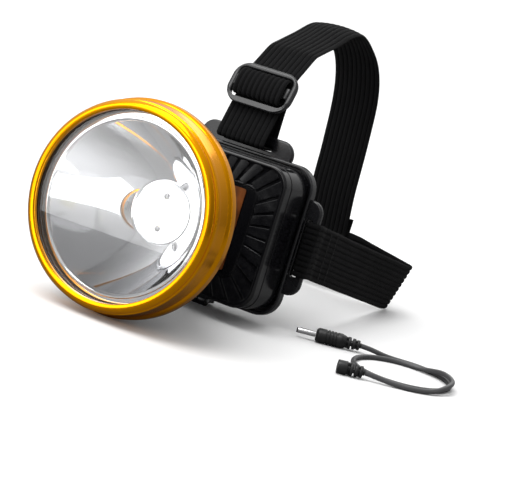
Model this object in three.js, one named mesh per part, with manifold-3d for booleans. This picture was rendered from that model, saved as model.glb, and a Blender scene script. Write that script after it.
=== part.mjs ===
// Rechargeable head lamp on webbing straps, with its charging lead.
// Millimetres, +Z up. The lamp is drawn in its own level frame: X to the right, Y towards the
// wearer, Z up, with the origin in the middle of the bezel's front. It is then leaned back onto
// the three places it rests on: the bezel, the hinge lugs and the fold of the head strap.
import * as THREE from 'three';
import { mergeVertices } from 'three/addons/utils/BufferGeometryUtils.js';
import Module from 'manifold-3d';

const wasm = await Module();
wasm.setup();

// ---------------------------------------------------------------- driving dimensions
const GAP = 0.3; // air between neighbouring solids
const FINE = 40; // sides of the large turned pieces
const SMALL = 20; // sides of the small turned pieces

const BEZEL = { radius: 46, inner: 39.8, bore: 42.4, length: 17, lip: 2.4 };
const LENS = { radius: 42, front: 2.7, thick: 1.7 };
const REFLECTOR = { mouth: 36, throat: 13.4, front: 6, depth: 32.5, wall: 1.2 };
const LED = { front: 39.6, radius: 15, board: 1.7, screwOffset: 7.2 };
const NECK = { radius: 13.5, spigot: 8, bore: 6, end: 77.4 };

const CASE = { halfW: 37.2, halfH: 32.6, corner: 9.5, front: 71.2, split: 77.4, back: 95.4, wall: 1.6 };
const PANEL = { halfW: 23.6, halfH: 20.2, corner: 5, front: 73.6 };
const CELL = { radius: 9.1, length: 65, height: 17.8, centre: 84.4 };
const SCREW = { x: 24, z: 29, shank: 0.9, head: 1.9 };
const SIDE = { centre: 84.5, switchZ: 4.9, jackZ: -4.9 };

const PLATE = { halfW: 39.3, halfH: 34.8, corner: 10.5, rim: 93.6, front: 96, back: 98.8 };
const TAB = { top: 43, side: 46, halfTop: 24, halfSide: 22, corner: 7 };
const SLOT = { half: 13.2, width: 3, top: 35.8, side: 39.8 };
const HINGE = { y: 91, z: -36, lug: 2.6, bore: 1.5, pin: 1.2, inner: 3, outer: 7 };

const STRAP = { width: 25, thick: 1.5 };
const HEAD = { side: 45.3, fold: 220, rear: 213.2, drop: 13.4, lift: 7, lean: 0.29, leanFrom: 150, flat: 15 };
const SLIDER = { halfW: 16.5, halfH: 10, corner: 7.5, low: 1.3, high: 4.3, windowW: 13, windowH: 7.2 };

const CORD = { radius: 1.1, loop: 22.4, spread: 1.3, straight: 17, turns: 1.5, hump: 2.9 };
const LEAD = { x: 103, y: 93, turn: 26.6 };
const PLUG = { body: 3.3, barrel: 1.25, barrelLength: 8.2, bodyLength: 20.5, socket: 3, socketLength: 12 };

// The rear bead of the bezel and the hinge lugs stand on one level line.
const TILT = Math.atan2(BEZEL.radius + HINGE.z - HINGE.lug, HINGE.y - BEZEL.length + 1);

// ---------------------------------------------------------------- solids
function toSolid(geometry) {
  const bare = geometry.clone();
  bare.deleteAttribute('normal');
  bare.deleteAttribute('uv');
  const merged = mergeVertices(bare, 1e-4);
  const index = merged.index.array;
  const kept = [];
  for (let i = 0; i < index.length; i += 3) {
    const [a, b, c] = [index[i], index[i + 1], index[i + 2]];
    if (a !== b && b !== c && c !== a) kept.push(a, b, c);
  }
  const vertProperties = merged.attributes.position.array;
  return new wasm.Manifold(new wasm.Mesh({ numProp: 3, vertProperties, triVerts: new Uint32Array(kept) }));
}

function toGeometry(manifold) {
  const mesh = manifold.getMesh();
  const geometry = new THREE.BufferGeometry();
  geometry.setAttribute('position', new THREE.BufferAttribute(new Float32Array(mesh.vertProperties), 3));
  geometry.setIndex(new THREE.BufferAttribute(new Uint32Array(mesh.triVerts), 1));
  geometry.computeVertexNormals();
  return geometry;
}

// Joins and cuts take geometries or solids, and give a solid.
const solid = (item) => (item instanceof wasm.Manifold ? item : toSolid(item));
const join = (first, ...others) => others.reduce((sum, other) => sum.add(solid(other)), solid(first));
const cut = (first, ...others) => others.reduce((rest, other) => rest.subtract(solid(other)), solid(first));

// A profile of [radius, y] points turned about the Y axis, whichever way round it is listed.
function turned(profile, sides = FINE) {
  const points = profile.map(([r, y]) => new THREE.Vector2(r, y));
  const closed = profile[0][0] > 0 || profile.at(-1)[0] > 0;
  if (THREE.ShapeUtils.area(points) < 0) points.reverse();
  if (closed) points.push(points[0].clone());
  return new THREE.LatheGeometry(points, sides);
}

function roundedRect(halfW, halfH, radius) {
  const shape = new THREE.Shape();
  shape.absarc(halfW - radius, halfH - radius, radius, 0, Math.PI / 2);
  shape.absarc(radius - halfW, halfH - radius, radius, Math.PI / 2, Math.PI);
  shape.absarc(radius - halfW, radius - halfH, radius, Math.PI, Math.PI * 1.5);
  shape.absarc(halfW - radius, radius - halfH, radius, Math.PI * 1.5, Math.PI * 2);
  shape.closePath();
  return shape;
}

// A shape drawn in X and Z, from y0 back to y1. Its far end can be scaled for a tapered block.
function plate(shape, y0, y1, { curveSegments = 3, scaleX = 1, scaleZ = 1 } = {}) {
  const geometry = new THREE.ExtrudeGeometry(shape, { depth: y1 - y0, bevelEnabled: false, curveSegments });
  geometry.rotateX(Math.PI / 2);
  geometry.translate(0, y1, 0);
  const position = geometry.attributes.position;
  for (let i = 0; i < position.count; i += 1) {
    if (position.getY(i) > (y0 + y1) / 2) {
      position.setX(i, position.getX(i) * scaleX);
      position.setZ(i, position.getZ(i) * scaleZ);
    }
  }
  return geometry;
}

const roundPlate = (halfW, halfH, radius, y0, y1, options) =>
  plate(roundedRect(halfW, halfH, radius), y0, y1, options);

function box([x0, y0, z0], [x1, y1, z1]) {
  const geometry = new THREE.BoxGeometry(x1 - x0, y1 - y0, z1 - z0);
  return geometry.translate((x0 + x1) / 2, (y0 + y1) / 2, (z0 + z1) / 2);
}

// Round bars along each axis.
function barX(radius, x0, x1, y, z, sides = SMALL) {
  const geometry = new THREE.CylinderGeometry(radius, radius, x1 - x0, sides);
  return geometry.rotateZ(Math.PI / 2).translate((x0 + x1) / 2, y, z);
}
function barY(radius, y0, y1, x, z, sides = SMALL) {
  const geometry = new THREE.CylinderGeometry(radius, radius, y1 - y0, sides);
  return geometry.translate(x, (y0 + y1) / 2, z);
}

function tube(points, radius, steps, sides = 8) {
  const section = new THREE.Shape();
  section.absarc(0, 0, radius, 0, Math.PI * 2); // divided into twice curveSegments
  const corners = points.map((point) => new THREE.Vector3(...point));
  const extrudePath = new THREE.CatmullRomCurve3(corners, false, 'centripetal');
  const curveSegments = sides / 2;
  return new THREE.ExtrudeGeometry(section, { steps, extrudePath, curveSegments, bevelEnabled: false });
}

// A line through [u, v, fillet radius] corners, as plain points, with its long legs divided.
function filletLine(corners, step) {
  const line = [new THREE.Vector2(corners[0][0], corners[0][1])];
  const runTo = (target) => {
    const start = line.at(-1).clone();
    const count = Math.max(1, Math.ceil(start.distanceTo(target) / step));
    for (let i = 1; i <= count; i += 1) line.push(start.clone().lerp(target, i / count));
  };
  for (let i = 1; i < corners.length - 1; i += 1) {
    const corner = new THREE.Vector2(corners[i][0], corners[i][1]);
    const before = new THREE.Vector2(corners[i - 1][0], corners[i - 1][1]).sub(corner).normalize();
    const after = new THREE.Vector2(corners[i + 1][0], corners[i + 1][1]).sub(corner).normalize();
    const half = Math.acos(THREE.MathUtils.clamp(before.dot(after), -1, 1)) / 2;
    const reach = corners[i][2] / Math.tan(half);
    const entry = corner.clone().addScaledVector(before, reach);
    const exit = corner.clone().addScaledVector(after, reach);
    runTo(entry);
    const bend = new THREE.QuadraticBezierCurve(entry, corner, exit);
    const steps = Math.max(2, Math.round((Math.PI - 2 * half) / 0.35));
    line.push(...bend.getPoints(steps).slice(1));
  }
  runTo(new THREE.Vector2(corners.at(-1)[0], corners.at(-1)[1]));
  return line;
}

// A straight band bent along a line: each slice of the box goes to the line's next point, and
// place(u, v, w) puts a point of the line, and its distance across the width, into the model.
function band(line, place) {
  const last = line.length - 1;
  const geometry = new THREE.BoxGeometry(last, STRAP.thick, STRAP.width, last, 1, 1);
  const position = geometry.attributes.position;
  for (let i = 0; i < position.count; i += 1) {
    const slice = Math.round(position.getX(i) + last / 2);
    const into = line[slice].clone().sub(line[Math.max(slice - 1, 0)]).normalize();
    const out = line[Math.min(slice + 1, last)].clone().sub(line[slice]).normalize();
    const along = into.add(out).normalize();
    const offset = new THREE.Vector2(-along.y, along.x).multiplyScalar(position.getY(i));
    const point = line[slice].clone().add(offset);
    position.setXYZ(i, ...place(point.x, point.y, position.getZ(i)));
  }
  return geometry;
}

// ---------------------------------------------------------------- materials
const paint = (color, roughness, metalness = 0, opacity = 1) =>
  new THREE.MeshStandardMaterial({ color, roughness, metalness, opacity, transparent: opacity < 1 });
const GOLD = [0xf5a800, 0.25, 1];
const CHROME = [0xd8dadc, 0.08, 1];
const BLACK = [0x101113, 0.35];
const BLACK_SATIN = [0x17181a, 0.5];
const WEBBING = [0x0d0d0e, 0.9];
const GREY = [0x5b5c5e, 0.5];
const CLEAR = [0xf2f7fa, 0.05, 0, 0.3];
const STEEL = [0xb4b6b8, 0.3, 1];
const RUBBER = [0x1b1b1c, 0.8];

const model = new THREE.Group();
const lampFrame = new THREE.Group();
const lead = new THREE.Group();
model.add(lampFrame, lead);

function add(parent, name, shape, finish) {
  const mesh = new THREE.Mesh(shape instanceof wasm.Manifold ? toGeometry(shape) : shape, paint(...finish));
  mesh.name = name;
  parent.add(mesh);
}

// ---------------------------------------------------------------- optics
function bezelRing() {
  const { radius, inner, bore, length, lip } = BEZEL;
  return turned([
    [inner, 0.6], [inner + 0.6, 0.1], [inner + 1.6, 0], [inner + 2.8, 0.35], [inner + 3.6, 1.1],
    [inner + 3.8, 2], [inner + 3.4, 2.6], [inner + 3.4, 3.2], [inner + 4.1, 3.6], [inner + 4.6, 4.3],
    [inner + 4.6, 5], [inner + 4.3, 5.7], [radius - 1.2, length - 5.8], [radius - 1.1, length - 5.3],
    [radius - 0.3, length - 4.7], [radius, length - 3.8], [radius, length - 1.6],
    [radius - 0.4, length - 0.6], [radius - 1.2, length], [bore, length], [bore, lip], [inner, lip],
  ]);
}

function lensDisc() {
  const { radius, front, thick } = LENS;
  const back = front + thick;
  return turned([[0, front], [radius - 0.3, front], [radius, front + 0.3], [radius, back], [0, back]]);
}

function reflectorCup() {
  const { mouth, throat, front, depth, wall } = REFLECTOR;
  const steps = 7;
  const radiusAt = (y) => Math.sqrt(throat ** 2 + ((mouth ** 2 - throat ** 2) * (front + depth - y)) / depth);
  const heights = Array.from({ length: steps + 1 }, (_, i) => front + (depth * i) / steps);
  const inside = heights.map((y) => [radiusAt(y), y]);
  const outside = inside.map(([r, y]) => [r + wall, y]).reverse();
  outside.pop();
  const rim = [[mouth + wall, front + wall], [LENS.radius, front + wall], [LENS.radius, front]];
  return turned([...inside, ...outside, ...rim]);
}

function ledBoard() {
  const disc = barY(LED.radius, LED.front, LED.front + LED.board, 0, 0, FINE);
  const holes = [1, -1].map((s) => barY(1.2, LED.front - 1, LED.front + 3, 0, s * LED.screwOffset, 12));
  return cut(disc, ...holes);
}

function ledChip() {
  const top = LED.front - GAP;
  return join(box([-2.6, top - 0.6, -2.6], [2.6, top, 2.6]), barY(2.2, top - 0.9, top - 0.5, 0, 0, 20));
}

function ledScrew(side) {
  const z = side * LED.screwOffset;
  const top = LED.front - GAP;
  return join(barY(1.5, top - 0.9, top, 0, z, 16), barY(0.8, top - 0.5, LED.front + 5, 0, z, 12));
}

function heatSink() {
  const front = LED.front + LED.board + GAP;
  const slug = barY(16.2, front, 46.2, 0, 0, FINE);
  const holes = [1, -1].map((s) => barY(1.2, front - 1, LED.front + 5.4, 0, s * LED.screwOffset, 12));
  return cut(slug, barY(3.2, front - 1, 47, 0, 0, 16), ...holes);
}

function headShell() {
  const { radius, spigot, bore, end } = NECK;
  return turned([
    [42.1, 7.6], [42.1, BEZEL.length + GAP], [44.7, BEZEL.length + GAP], [44.7, 18.8], [43.4, 20.4],
    [19.6, 45.4], [18.9, 48.8], [16, 51.2], [radius, 53.6], [radius, PANEL.front - GAP],
    [spigot, PANEL.front - GAP], [spigot, end], [bore, end], [bore, 46.6], [16.7, 46.6], [16.7, 44.4],
    [40.2, 20.6], [40.2, 7.6],
  ]);
}

const neckNut = () => turned([[8.4, 75.2], [11, 75.2], [11, 77.2], [8.4, 77.2]], SMALL);
const lensSeal = () => turned([[40.4, 4.7], [42, 4.7], [42, 5.7], [40.4, 5.7]]);

function ledWire(side) {
  const x = side * 1.4;
  const bend = [[x * 1.5, 77, side], [x * 3, 84, side * 2], [x * 4, 86.6, side * 3]];
  return tube([[x, 41.7, 0], [x, 50, 0], [x, 66, 0], ...bend], 0.55, 14);
}

// ---------------------------------------------------------------- battery case
// The sloping border runs from the front lip down to the sunk panel, with ribs that fan out.
function borderBlock(shift) {
  const halfW = CASE.halfW - 1.9;
  const halfH = CASE.halfH - 1.9;
  const scale = { scaleX: PANEL.halfW / halfW, scaleZ: PANEL.halfH / halfH };
  const [y0, y1] = [CASE.front + 0.2 + shift, PANEL.front - 0.4 + shift];
  return roundPlate(halfW, halfH, CASE.corner - 1.9, y0, y1, scale);
}

function ribFan() {
  const count = 36;
  const ribs = [];
  for (let i = 0; i < count; i += 1) {
    const rib = box([-0.5, CASE.front - 1, 12], [0.5, PANEL.front + 1, 60]);
    ribs.push(solid(rib.rotateY((i + 0.5) * ((Math.PI * 2) / count))));
  }
  return wasm.Manifold.union(ribs);
}

function frontCover() {
  const { halfW, halfH, corner, front, split } = CASE;
  const block = roundPlate(halfW - 0.2, halfH - 0.2, corner, front, split - GAP);
  const lipCut = roundPlate(halfW - 1.9, halfH - 1.9, corner - 1.9, front - 1, front + 0.4);
  const pocket = roundPlate(PANEL.halfW + 0.3, PANEL.halfH + 0.3, PANEL.corner + 0.3, front, PANEL.front);
  const hollow = roundPlate(halfW - 1.8, halfH - 1.8, corner - 1.6, PANEL.front + 1.4, split);
  const betweenRibs = cut(borderBlock(0), ribFan());
  const spigotHole = barY(NECK.spigot + GAP, front, split, 0, 0);
  const shell = cut(block, lipCut, borderBlock(-0.6), betweenRibs, pocket, hollow, spigotHole);
  const bosses = [];
  for (const x of [-SCREW.x, SCREW.x]) {
    for (const z of [-SCREW.z, SCREW.z]) {
      const bore = barY(1.2, 81, CASE.back, x, z, 8);
      bosses.push(cut(barY(1.75, PANEL.front + 1, CASE.back - 1.8, x, z, 12), bore));
    }
  }
  return join(shell, ...bosses);
}

function batteryCase() {
  const { halfW, halfH, corner, split, back, wall } = CASE;
  const shell = cut(roundPlate(halfW, halfH, corner, split, back),
    roundPlate(halfW - wall, halfH - wall, corner - wall, split - 1, back - 1.4));
  const lug = cut(
    join(barX(HINGE.lug, -HINGE.inner, HINGE.inner, HINGE.y, HINGE.z),
      box([-HINGE.inner, HINGE.y - 2.4, HINGE.z], [HINGE.inner, HINGE.y + 2.4, -halfH + 0.6])),
    barX(HINGE.bore, -HINGE.inner - 1, HINGE.inner + 1, HINGE.y, HINGE.z));
  const holes = [
    barX(3.2, -halfW - 1, wall - halfW + 1, SIDE.centre, SIDE.switchZ),
    barX(2.2, -halfW - 1, wall - halfW + 1, SIDE.centre, SIDE.jackZ),
  ];
  for (const x of [-SCREW.x, SCREW.x]) {
    for (const z of [-SCREW.z, SCREW.z]) {
      holes.push(barY(1.2, back - 3, back + 1, x, z, 12), barY(2.2, back - 0.9, back + 1, x, z, 16));
    }
  }
  return cut(join(shell, lug), ...holes);
}

function caseScrew(x, z) {
  const head = CASE.back - 0.1;
  return join(barY(SCREW.head, head - 0.5, head, x, z, 16), barY(SCREW.shank, 82, head - 0.2, x, z, 12));
}

function cell(side) {
  const half = CELL.length / 2;
  return barX(CELL.radius, -half, half, CELL.centre, side * CELL.height, 28);
}

function cellStrip(side) {
  const x = side * (CELL.length / 2 + GAP + 0.15);
  return box([x - 0.15, 77, -23], [x + 0.15, 80.6, 23]);
}

const chargeBoard = () => box([-20, 87.2, -8.2], [20, 88.4, 8.2]);

function chargeJack() {
  const outer = CASE.wall + GAP - CASE.halfW;
  const half = 3.2;
  const low = [outer, SIDE.centre - half, SIDE.jackZ - half];
  const body = box(low, [outer + 11, SIDE.centre + half, SIDE.jackZ + half]);
  return cut(body, barX(1.6, outer - 1, outer + 9, SIDE.centre, SIDE.jackZ, 16));
}

const switchBody = () => box([-33.2, SIDE.centre - 3.5, 1.4], [-24.4, SIDE.centre + 3.5, 8.4]);

function switchButton() {
  const outer = -CASE.halfW - 2;
  const inner = CASE.wall + GAP - CASE.halfW;
  return join(barX(2.8, outer, inner + 0.4, SIDE.centre, SIDE.switchZ),
    barX(3.7, inner, inner + 0.8, SIDE.centre, SIDE.switchZ));
}

function frontLabel() {
  const sheet = roundPlate(18.2, 18.6, 1, PANEL.front - GAP - 0.35, PANEL.front - GAP);
  return cut(sheet, barY(NECK.radius + GAP, CASE.front, CASE.back, 0, 0));
}

// ---------------------------------------------------------------- strap plate and hinge
function strapPlate() {
  const { halfW, halfH, corner, rim, front, back } = PLATE;
  const tray = cut(roundPlate(halfW, halfH, corner, rim, back),
    roundPlate(halfW - 1.4, halfH - 1.4, corner - 1.4, rim - 1, front));
  const lugs = [1, -1].map((s) => {
    const [x0, x1] = [s * (HINGE.inner + GAP), s * HINGE.outer].sort((a, b) => a - b);
    return join(barX(HINGE.lug, x0, x1, HINGE.y, HINGE.z),
      box([x0, HINGE.y, HINGE.z - 1.2], [x1, back, -halfH + 0.6]));
  });
  const tabs = [
    roundPlate(TAB.halfTop, 20, TAB.corner, front, back).translate(0, 0, TAB.top - 20),
    roundPlate(TAB.side, TAB.halfSide, TAB.corner, front, back),
  ];
  const reach = [rim - 5, back + 5];
  const slots = [
    box([-SLOT.half, reach[0], SLOT.top], [SLOT.half, reach[1], SLOT.top + SLOT.width]),
    box([SLOT.side, reach[0], -SLOT.half], [SLOT.side + SLOT.width, reach[1], SLOT.half]),
    box([-SLOT.side - SLOT.width, reach[0], -SLOT.half], [-SLOT.side, reach[1], SLOT.half]),
  ];
  return cut(join(tray, ...tabs, ...lugs), ...slots, barX(HINGE.bore, -20, 20, HINGE.y, HINGE.z));
}

const hingePin = () => barX(HINGE.pin, -HINGE.outer - 0.6, HINGE.outer + 0.6, HINGE.y, HINGE.z, 16);
const foreheadPad = () => roundPlate(35, 26, 12, PLATE.back + GAP, PLATE.back + GAP + 5);

// ---------------------------------------------------------------- straps
// Half of the head strap seen from above: a sewn end, round the slot's bar, back to the fold.
function headStrap() {
  const bar = { in: SLOT.side + 1.5, out: TAB.side + 1.05, front: PLATE.front - 1.05 };
  const half = (end) => [
    [HEAD.side - 2, end, 0], [HEAD.side - 2, 106, 8], [bar.in, 100.5, 3], [bar.in, bar.front, 0.9],
    [bar.out, bar.front, 0.9], [bar.out, 100, 4], [HEAD.side, 107, 8], [HEAD.side, HEAD.fold, 1.5],
    [HEAD.flat, HEAD.rear, 20],
  ];
  const left = half(132).reverse().map(([x, y, r]) => [-x, y, r]);
  const line = filletLine([...half(124), ...left], 12);
  // The fold rests on the ground while the rear run is lifted by the crown strap.
  return band(line, (x, y, z) => {
    const back = THREE.MathUtils.clamp((y - PLATE.back) / (HEAD.rear - PLATE.back), 0, 1);
    const middle = THREE.MathUtils.clamp((HEAD.side - Math.abs(x)) / (HEAD.side - HEAD.flat), 0, 1);
    const rear = y > HEAD.rear - 2 ? middle : 0;
    const lean = HEAD.lean * THREE.MathUtils.smoothstep(y, HEAD.leanFrom, HEAD.fold) * (1 - rear);
    return [x + Math.sign(x) * lean * z, y, z - HEAD.drop * back + HEAD.lift * rear];
  });
}

// The crown strap in side view, [y, z, fillet]: sewn end, down, through the slot, over, sewn loop.
const CROWN_FRONT = { y0: 89.3, z0: 40.9, y1: 101.5, z1: 70.5 };
function crownStrap() {
  const low = HEAD.lift - HEAD.drop - STRAP.width / 2 - 1.1;
  const loop = { in: HEAD.rear - 1.8, out: HEAD.rear + 1.8 };
  const [backY, lowZ] = [PLATE.back + 1.15, SLOT.top + 1.6]; // behind the slot's bar, and under it
  const line = filletLine([
    [backY, 60, 0], [backY, lowZ, 1], [88.7, lowZ, 1], [CROWN_FRONT.y0, CROWN_FRONT.z0, 1],
    [CROWN_FRONT.y1, CROWN_FRONT.z1, 14], [115, 83, 14], [142, 95, 30], [155, 100, 8], [187, 85, 12],
    [199, 67, 20], [207, 22, 30], [loop.in, 4, 20], [loop.in, low, 0.9], [loop.out, low, 0.9],
    [loop.out, 12, 0],
  ], 60);
  return band(line, (y, z, x) => [x, y, z]);
}

// Slider drawn flat: X across the strap, Y along it, Z away from it.
function sliderFrame() {
  const { halfW, halfH, corner, low, high, windowW, windowH } = SLIDER;
  const depth = high - low;
  const options = { depth, bevelEnabled: false, curveSegments: 4 };
  const outer = new THREE.ExtrudeGeometry(roundedRect(halfW, halfH, corner), options).translate(0, 0, low);
  const window = roundedRect(windowW, windowH, 1.6);
  const hole = new THREE.ExtrudeGeometry(window, { ...options, depth: depth + 4 }).translate(0, 0, low - 2);
  return join(cut(outer, hole), box([-windowW - 1, -2.7, 3.2], [windowW + 1, 2.7, 4.8]));
}

// Webbing wound round the slider's middle bar.
function sliderWrap() {
  const section = new THREE.Shape();
  section.absellipse(0, 0, 6.5, 2.9, 0, Math.PI * 2);
  const hole = new THREE.Path();
  hole.absellipse(0, 0, 4.8, 1.5, 0, Math.PI * 2);
  section.holes.push(hole);
  const band = new THREE.ExtrudeGeometry(section, { depth: 24.6, bevelEnabled: false, curveSegments: 9 });
  const basis = new THREE.Matrix4().makeBasis(
    new THREE.Vector3(0, 1, 0), new THREE.Vector3(0, 0, 1), new THREE.Vector3(1, 0, 0));
  return band.translate(0, 0, -12.3).applyMatrix4(basis).translate(0, 0, 4.05);
}

function addSlider(name, xAxis, yAxis, zAxis, centre) {
  const group = new THREE.Group();
  group.setRotationFromMatrix(new THREE.Matrix4().makeBasis(xAxis, yAxis, zAxis));
  group.position.copy(centre);
  add(group, `${name}_slider_frame`, sliderFrame(), GREY);
  add(group, `${name}_slider_webbing`, sliderWrap(), WEBBING);
  lampFrame.add(group);
}

// ---------------------------------------------------------------- charging lead
// Drawn flat on the ground: the plug's tail, one and a half turns that cross once, the socket's tail.
function cordRoute() {
  const { radius, loop, spread, straight, turns, hump } = CORD;
  const rest = radius + 0.05;
  const points = [[-straight, loop + spread, PLUG.body], [-straight + 4, loop + spread, PLUG.body - 0.2],
    [-straight + 10, loop + spread, rest + 0.4]];
  const steps = 38;
  for (let i = 0; i <= steps; i += 1) {
    const turn = (i / steps) * turns;
    const angle = turn * Math.PI * 2;
    const inward = THREE.MathUtils.smoothstep(turn, 0.14, 0.36);
    const outward = THREE.MathUtils.smoothstep(turn - 1, 0.14, 0.36);
    const side = 1 - 2 * inward + 2 * outward;
    const over = turn > 1 ? Math.sin(Math.PI * THREE.MathUtils.clamp((turn - 1.06) / 0.38, 0, 1)) ** 2 : 0;
    const reach = loop + spread * side;
    points.push([Math.sin(angle) * reach, Math.cos(angle) * reach, rest + hump * Math.min(1, over * 1.6)]);
  }
  const row = -loop - spread;
  points.push([-straight + 10, row, rest + 0.4], [-straight + 4, row, PLUG.socket - 0.2]);
  points.push([-straight, row, PLUG.socket]);
  return points;
}

// A turned piece lying along X, its front towards -X, from a profile of [radius, distance back].
function lying(profile, x, y, z, sides = 12) {
  return turned(profile, sides).rotateZ(-Math.PI / 2).translate(x, y, z);
}

function plugBody() {
  const r = PLUG.body;
  const rings = [];
  for (let i = 0; i < 4; i += 1) {
    const x = 4 + i * 1.4;
    rings.push([r, x], [r - 0.3, x + 0.4], [r - 0.3, x + 0.9]);
  }
  const relief = [];
  for (let i = 0; i < 3; i += 1) {
    const x = 14 + i * 2.2;
    const size = r - 0.5 - i * 0.35;
    relief.push([size, x], [size, x + 1.5], [size - 0.9, x + 1.5], [size - 0.9, x + 2.2]);
  }
  const nose = [[0, 0], [r - 0.8, 0], [r - 0.1, 0.8], [r, 1.5]];
  return [...nose, ...rings, [r, 11.5], [r - 0.6, 13.4], ...relief, [0, 20.6]];
}

function socketBody() {
  const r = PLUG.socket;
  const relief = [];
  for (let i = 0; i < 3; i += 1) {
    const x = 4.6 + i * 2.4;
    const size = r - i * 0.3;
    relief.push([size - 0.8, x], [size - 0.8, x + 0.7], [size, x + 0.7], [size - 0.1, x + 2.4]);
  }
  return [[0, 3.4], [1.5, 3.4], [1.5, 0], [r - 0.3, 0], [r, 0.3], [r, 4.6], ...relief, [0, 11.8]];
}

function buildLead() {
  const tail = -CORD.straight - GAP;
  const row = CORD.loop + CORD.spread;
  const plugFront = tail - PLUG.bodyLength - 0.1;
  add(lead, 'lead_cord', tube(cordRoute(), CORD.radius, 80), RUBBER);
  add(lead, 'plug_body', lying(plugBody(), plugFront, row, PLUG.body), RUBBER);
  const tip = plugFront - GAP - PLUG.barrelLength;
  const { barrel, barrelLength } = PLUG;
  const sleeve = [[0.5, 0.6], [barrel, 0.6], [barrel, barrelLength], [0, barrelLength], [0, 7], [0.5, 7]];
  add(lead, 'plug_barrel', lying(sleeve, tip, row, PLUG.body), STEEL);
  const ring = [[0.5, -0.3], [1.1, -0.3], [1.1, 0.3], [0.5, 0.3]];
  add(lead, 'plug_insulator', lying(ring, tip, row, PLUG.body), RUBBER);
  add(lead, 'lead_socket', lying(socketBody(), tail - PLUG.socketLength + 0.2, -row, PLUG.socket), RUBBER);
  lead.rotation.z = THREE.MathUtils.degToRad(LEAD.turn);
}

// ---------------------------------------------------------------- assembly
function buildLamp() {
  add(lampFrame, 'bezel_ring', bezelRing(), GOLD);
  add(lampFrame, 'lens', lensDisc(), CLEAR);
  add(lampFrame, 'lens_seal', lensSeal(), RUBBER);
  add(lampFrame, 'reflector', reflectorCup(), CHROME);
  add(lampFrame, 'led_board', ledBoard(), [0xf4f4f2, 0.5]);
  add(lampFrame, 'led_chip', ledChip(), [0xf0d860, 0.4]);
  add(lampFrame, 'led_screw_upper', ledScrew(1), STEEL);
  add(lampFrame, 'led_screw_lower', ledScrew(-1), STEEL);
  add(lampFrame, 'heat_sink', heatSink(), [0xc6c8ca, 0.4, 1]);
  add(lampFrame, 'led_wire_red', ledWire(1), [0xb32018, 0.6]);
  add(lampFrame, 'led_wire_black', ledWire(-1), RUBBER);
  add(lampFrame, 'head_shell', headShell(), BLACK);
  add(lampFrame, 'neck_nut', neckNut(), BLACK_SATIN);

  add(lampFrame, 'front_cover', frontCover(), BLACK);
  add(lampFrame, 'front_label', frontLabel(), [0x8a4a14, 0.4]);
  add(lampFrame, 'battery_case', batteryCase(), BLACK);
  add(lampFrame, 'cell_upper', cell(1), [0x2f6fb0, 0.5]);
  add(lampFrame, 'cell_lower', cell(-1), [0x2f6fb0, 0.5]);
  add(lampFrame, 'cell_strip_right', cellStrip(1), STEEL);
  add(lampFrame, 'cell_strip_left', cellStrip(-1), STEEL);
  add(lampFrame, 'charge_board', chargeBoard(), [0x1d6b3a, 0.6]);
  add(lampFrame, 'charge_jack', chargeJack(), BLACK_SATIN);
  add(lampFrame, 'switch_body', switchBody(), BLACK_SATIN);
  add(lampFrame, 'switch_button', switchButton(), RUBBER);
  let number = 1;
  for (const x of [-SCREW.x, SCREW.x]) {
    for (const z of [-SCREW.z, SCREW.z]) {
      add(lampFrame, `case_screw_${number}`, caseScrew(x, z), STEEL);
      number += 1;
    }
  }

  add(lampFrame, 'strap_plate', strapPlate(), BLACK_SATIN);
  add(lampFrame, 'hinge_pin', hingePin(), STEEL);
  add(lampFrame, 'forehead_pad', foreheadPad(), [0x1a1a1b, 0.95]);
  add(lampFrame, 'head_strap', headStrap(), WEBBING);
  add(lampFrame, 'crown_strap', crownStrap(), WEBBING);

  const { y0, z0, y1, z1 } = CROWN_FRONT;
  const rise = new THREE.Vector3(0, y1 - y0, z1 - z0).normalize();
  const across = new THREE.Vector3(1, 0, 0);
  const crownMid = new THREE.Vector3(0, y1, z1).addScaledVector(rise, -9.5);
  addSlider('crown', across, rise, across.clone().cross(rise), crownMid);
  const slope = Math.atan2(HEAD.drop, HEAD.rear - PLATE.back);
  const along = new THREE.Vector3(0, Math.cos(slope), -Math.sin(slope));
  const outward = new THREE.Vector3(-1, 0, 0);
  const sideMid = new THREE.Vector3(-HEAD.side, 128, -(128 - PLATE.back) * Math.tan(slope));
  addSlider('side', along.clone().cross(outward), along, outward, sideMid);
}

// The lamp leans back on its rests, and the origin is below the middle of the lamp and its straps.
function settle() {
  lampFrame.rotation.x = -TILT;
  lampFrame.updateMatrixWorld(true);
  const extent = new THREE.Box3().setFromObject(lampFrame, true);
  const middle = extent.getCenter(new THREE.Vector3());
  lampFrame.position.set(-middle.x, -middle.y, -extent.min.z);
  lead.position.set(LEAD.x - middle.x, LEAD.y - middle.y, 0);
}

buildLamp();
buildLead();
settle();

export default model;
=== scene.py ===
"""Rechargeable cap lamp on webbing straps: its looks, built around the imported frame.

The lamp's pieces are drawn in millimetres in its own level frame: X to the right, Y towards the
wearer, Z up, with the origin in the middle of the bezel's front. LAMP puts them in the row frame,
in metres. The charging lead is drawn in millimetres flat on the ground, and LEAD places it.
"""

from math import atan2, ceil, cos, hypot, pi, radians, sin, sqrt, tan

import bmesh
import bpy
from mathutils import Matrix, Vector, noise


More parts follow.
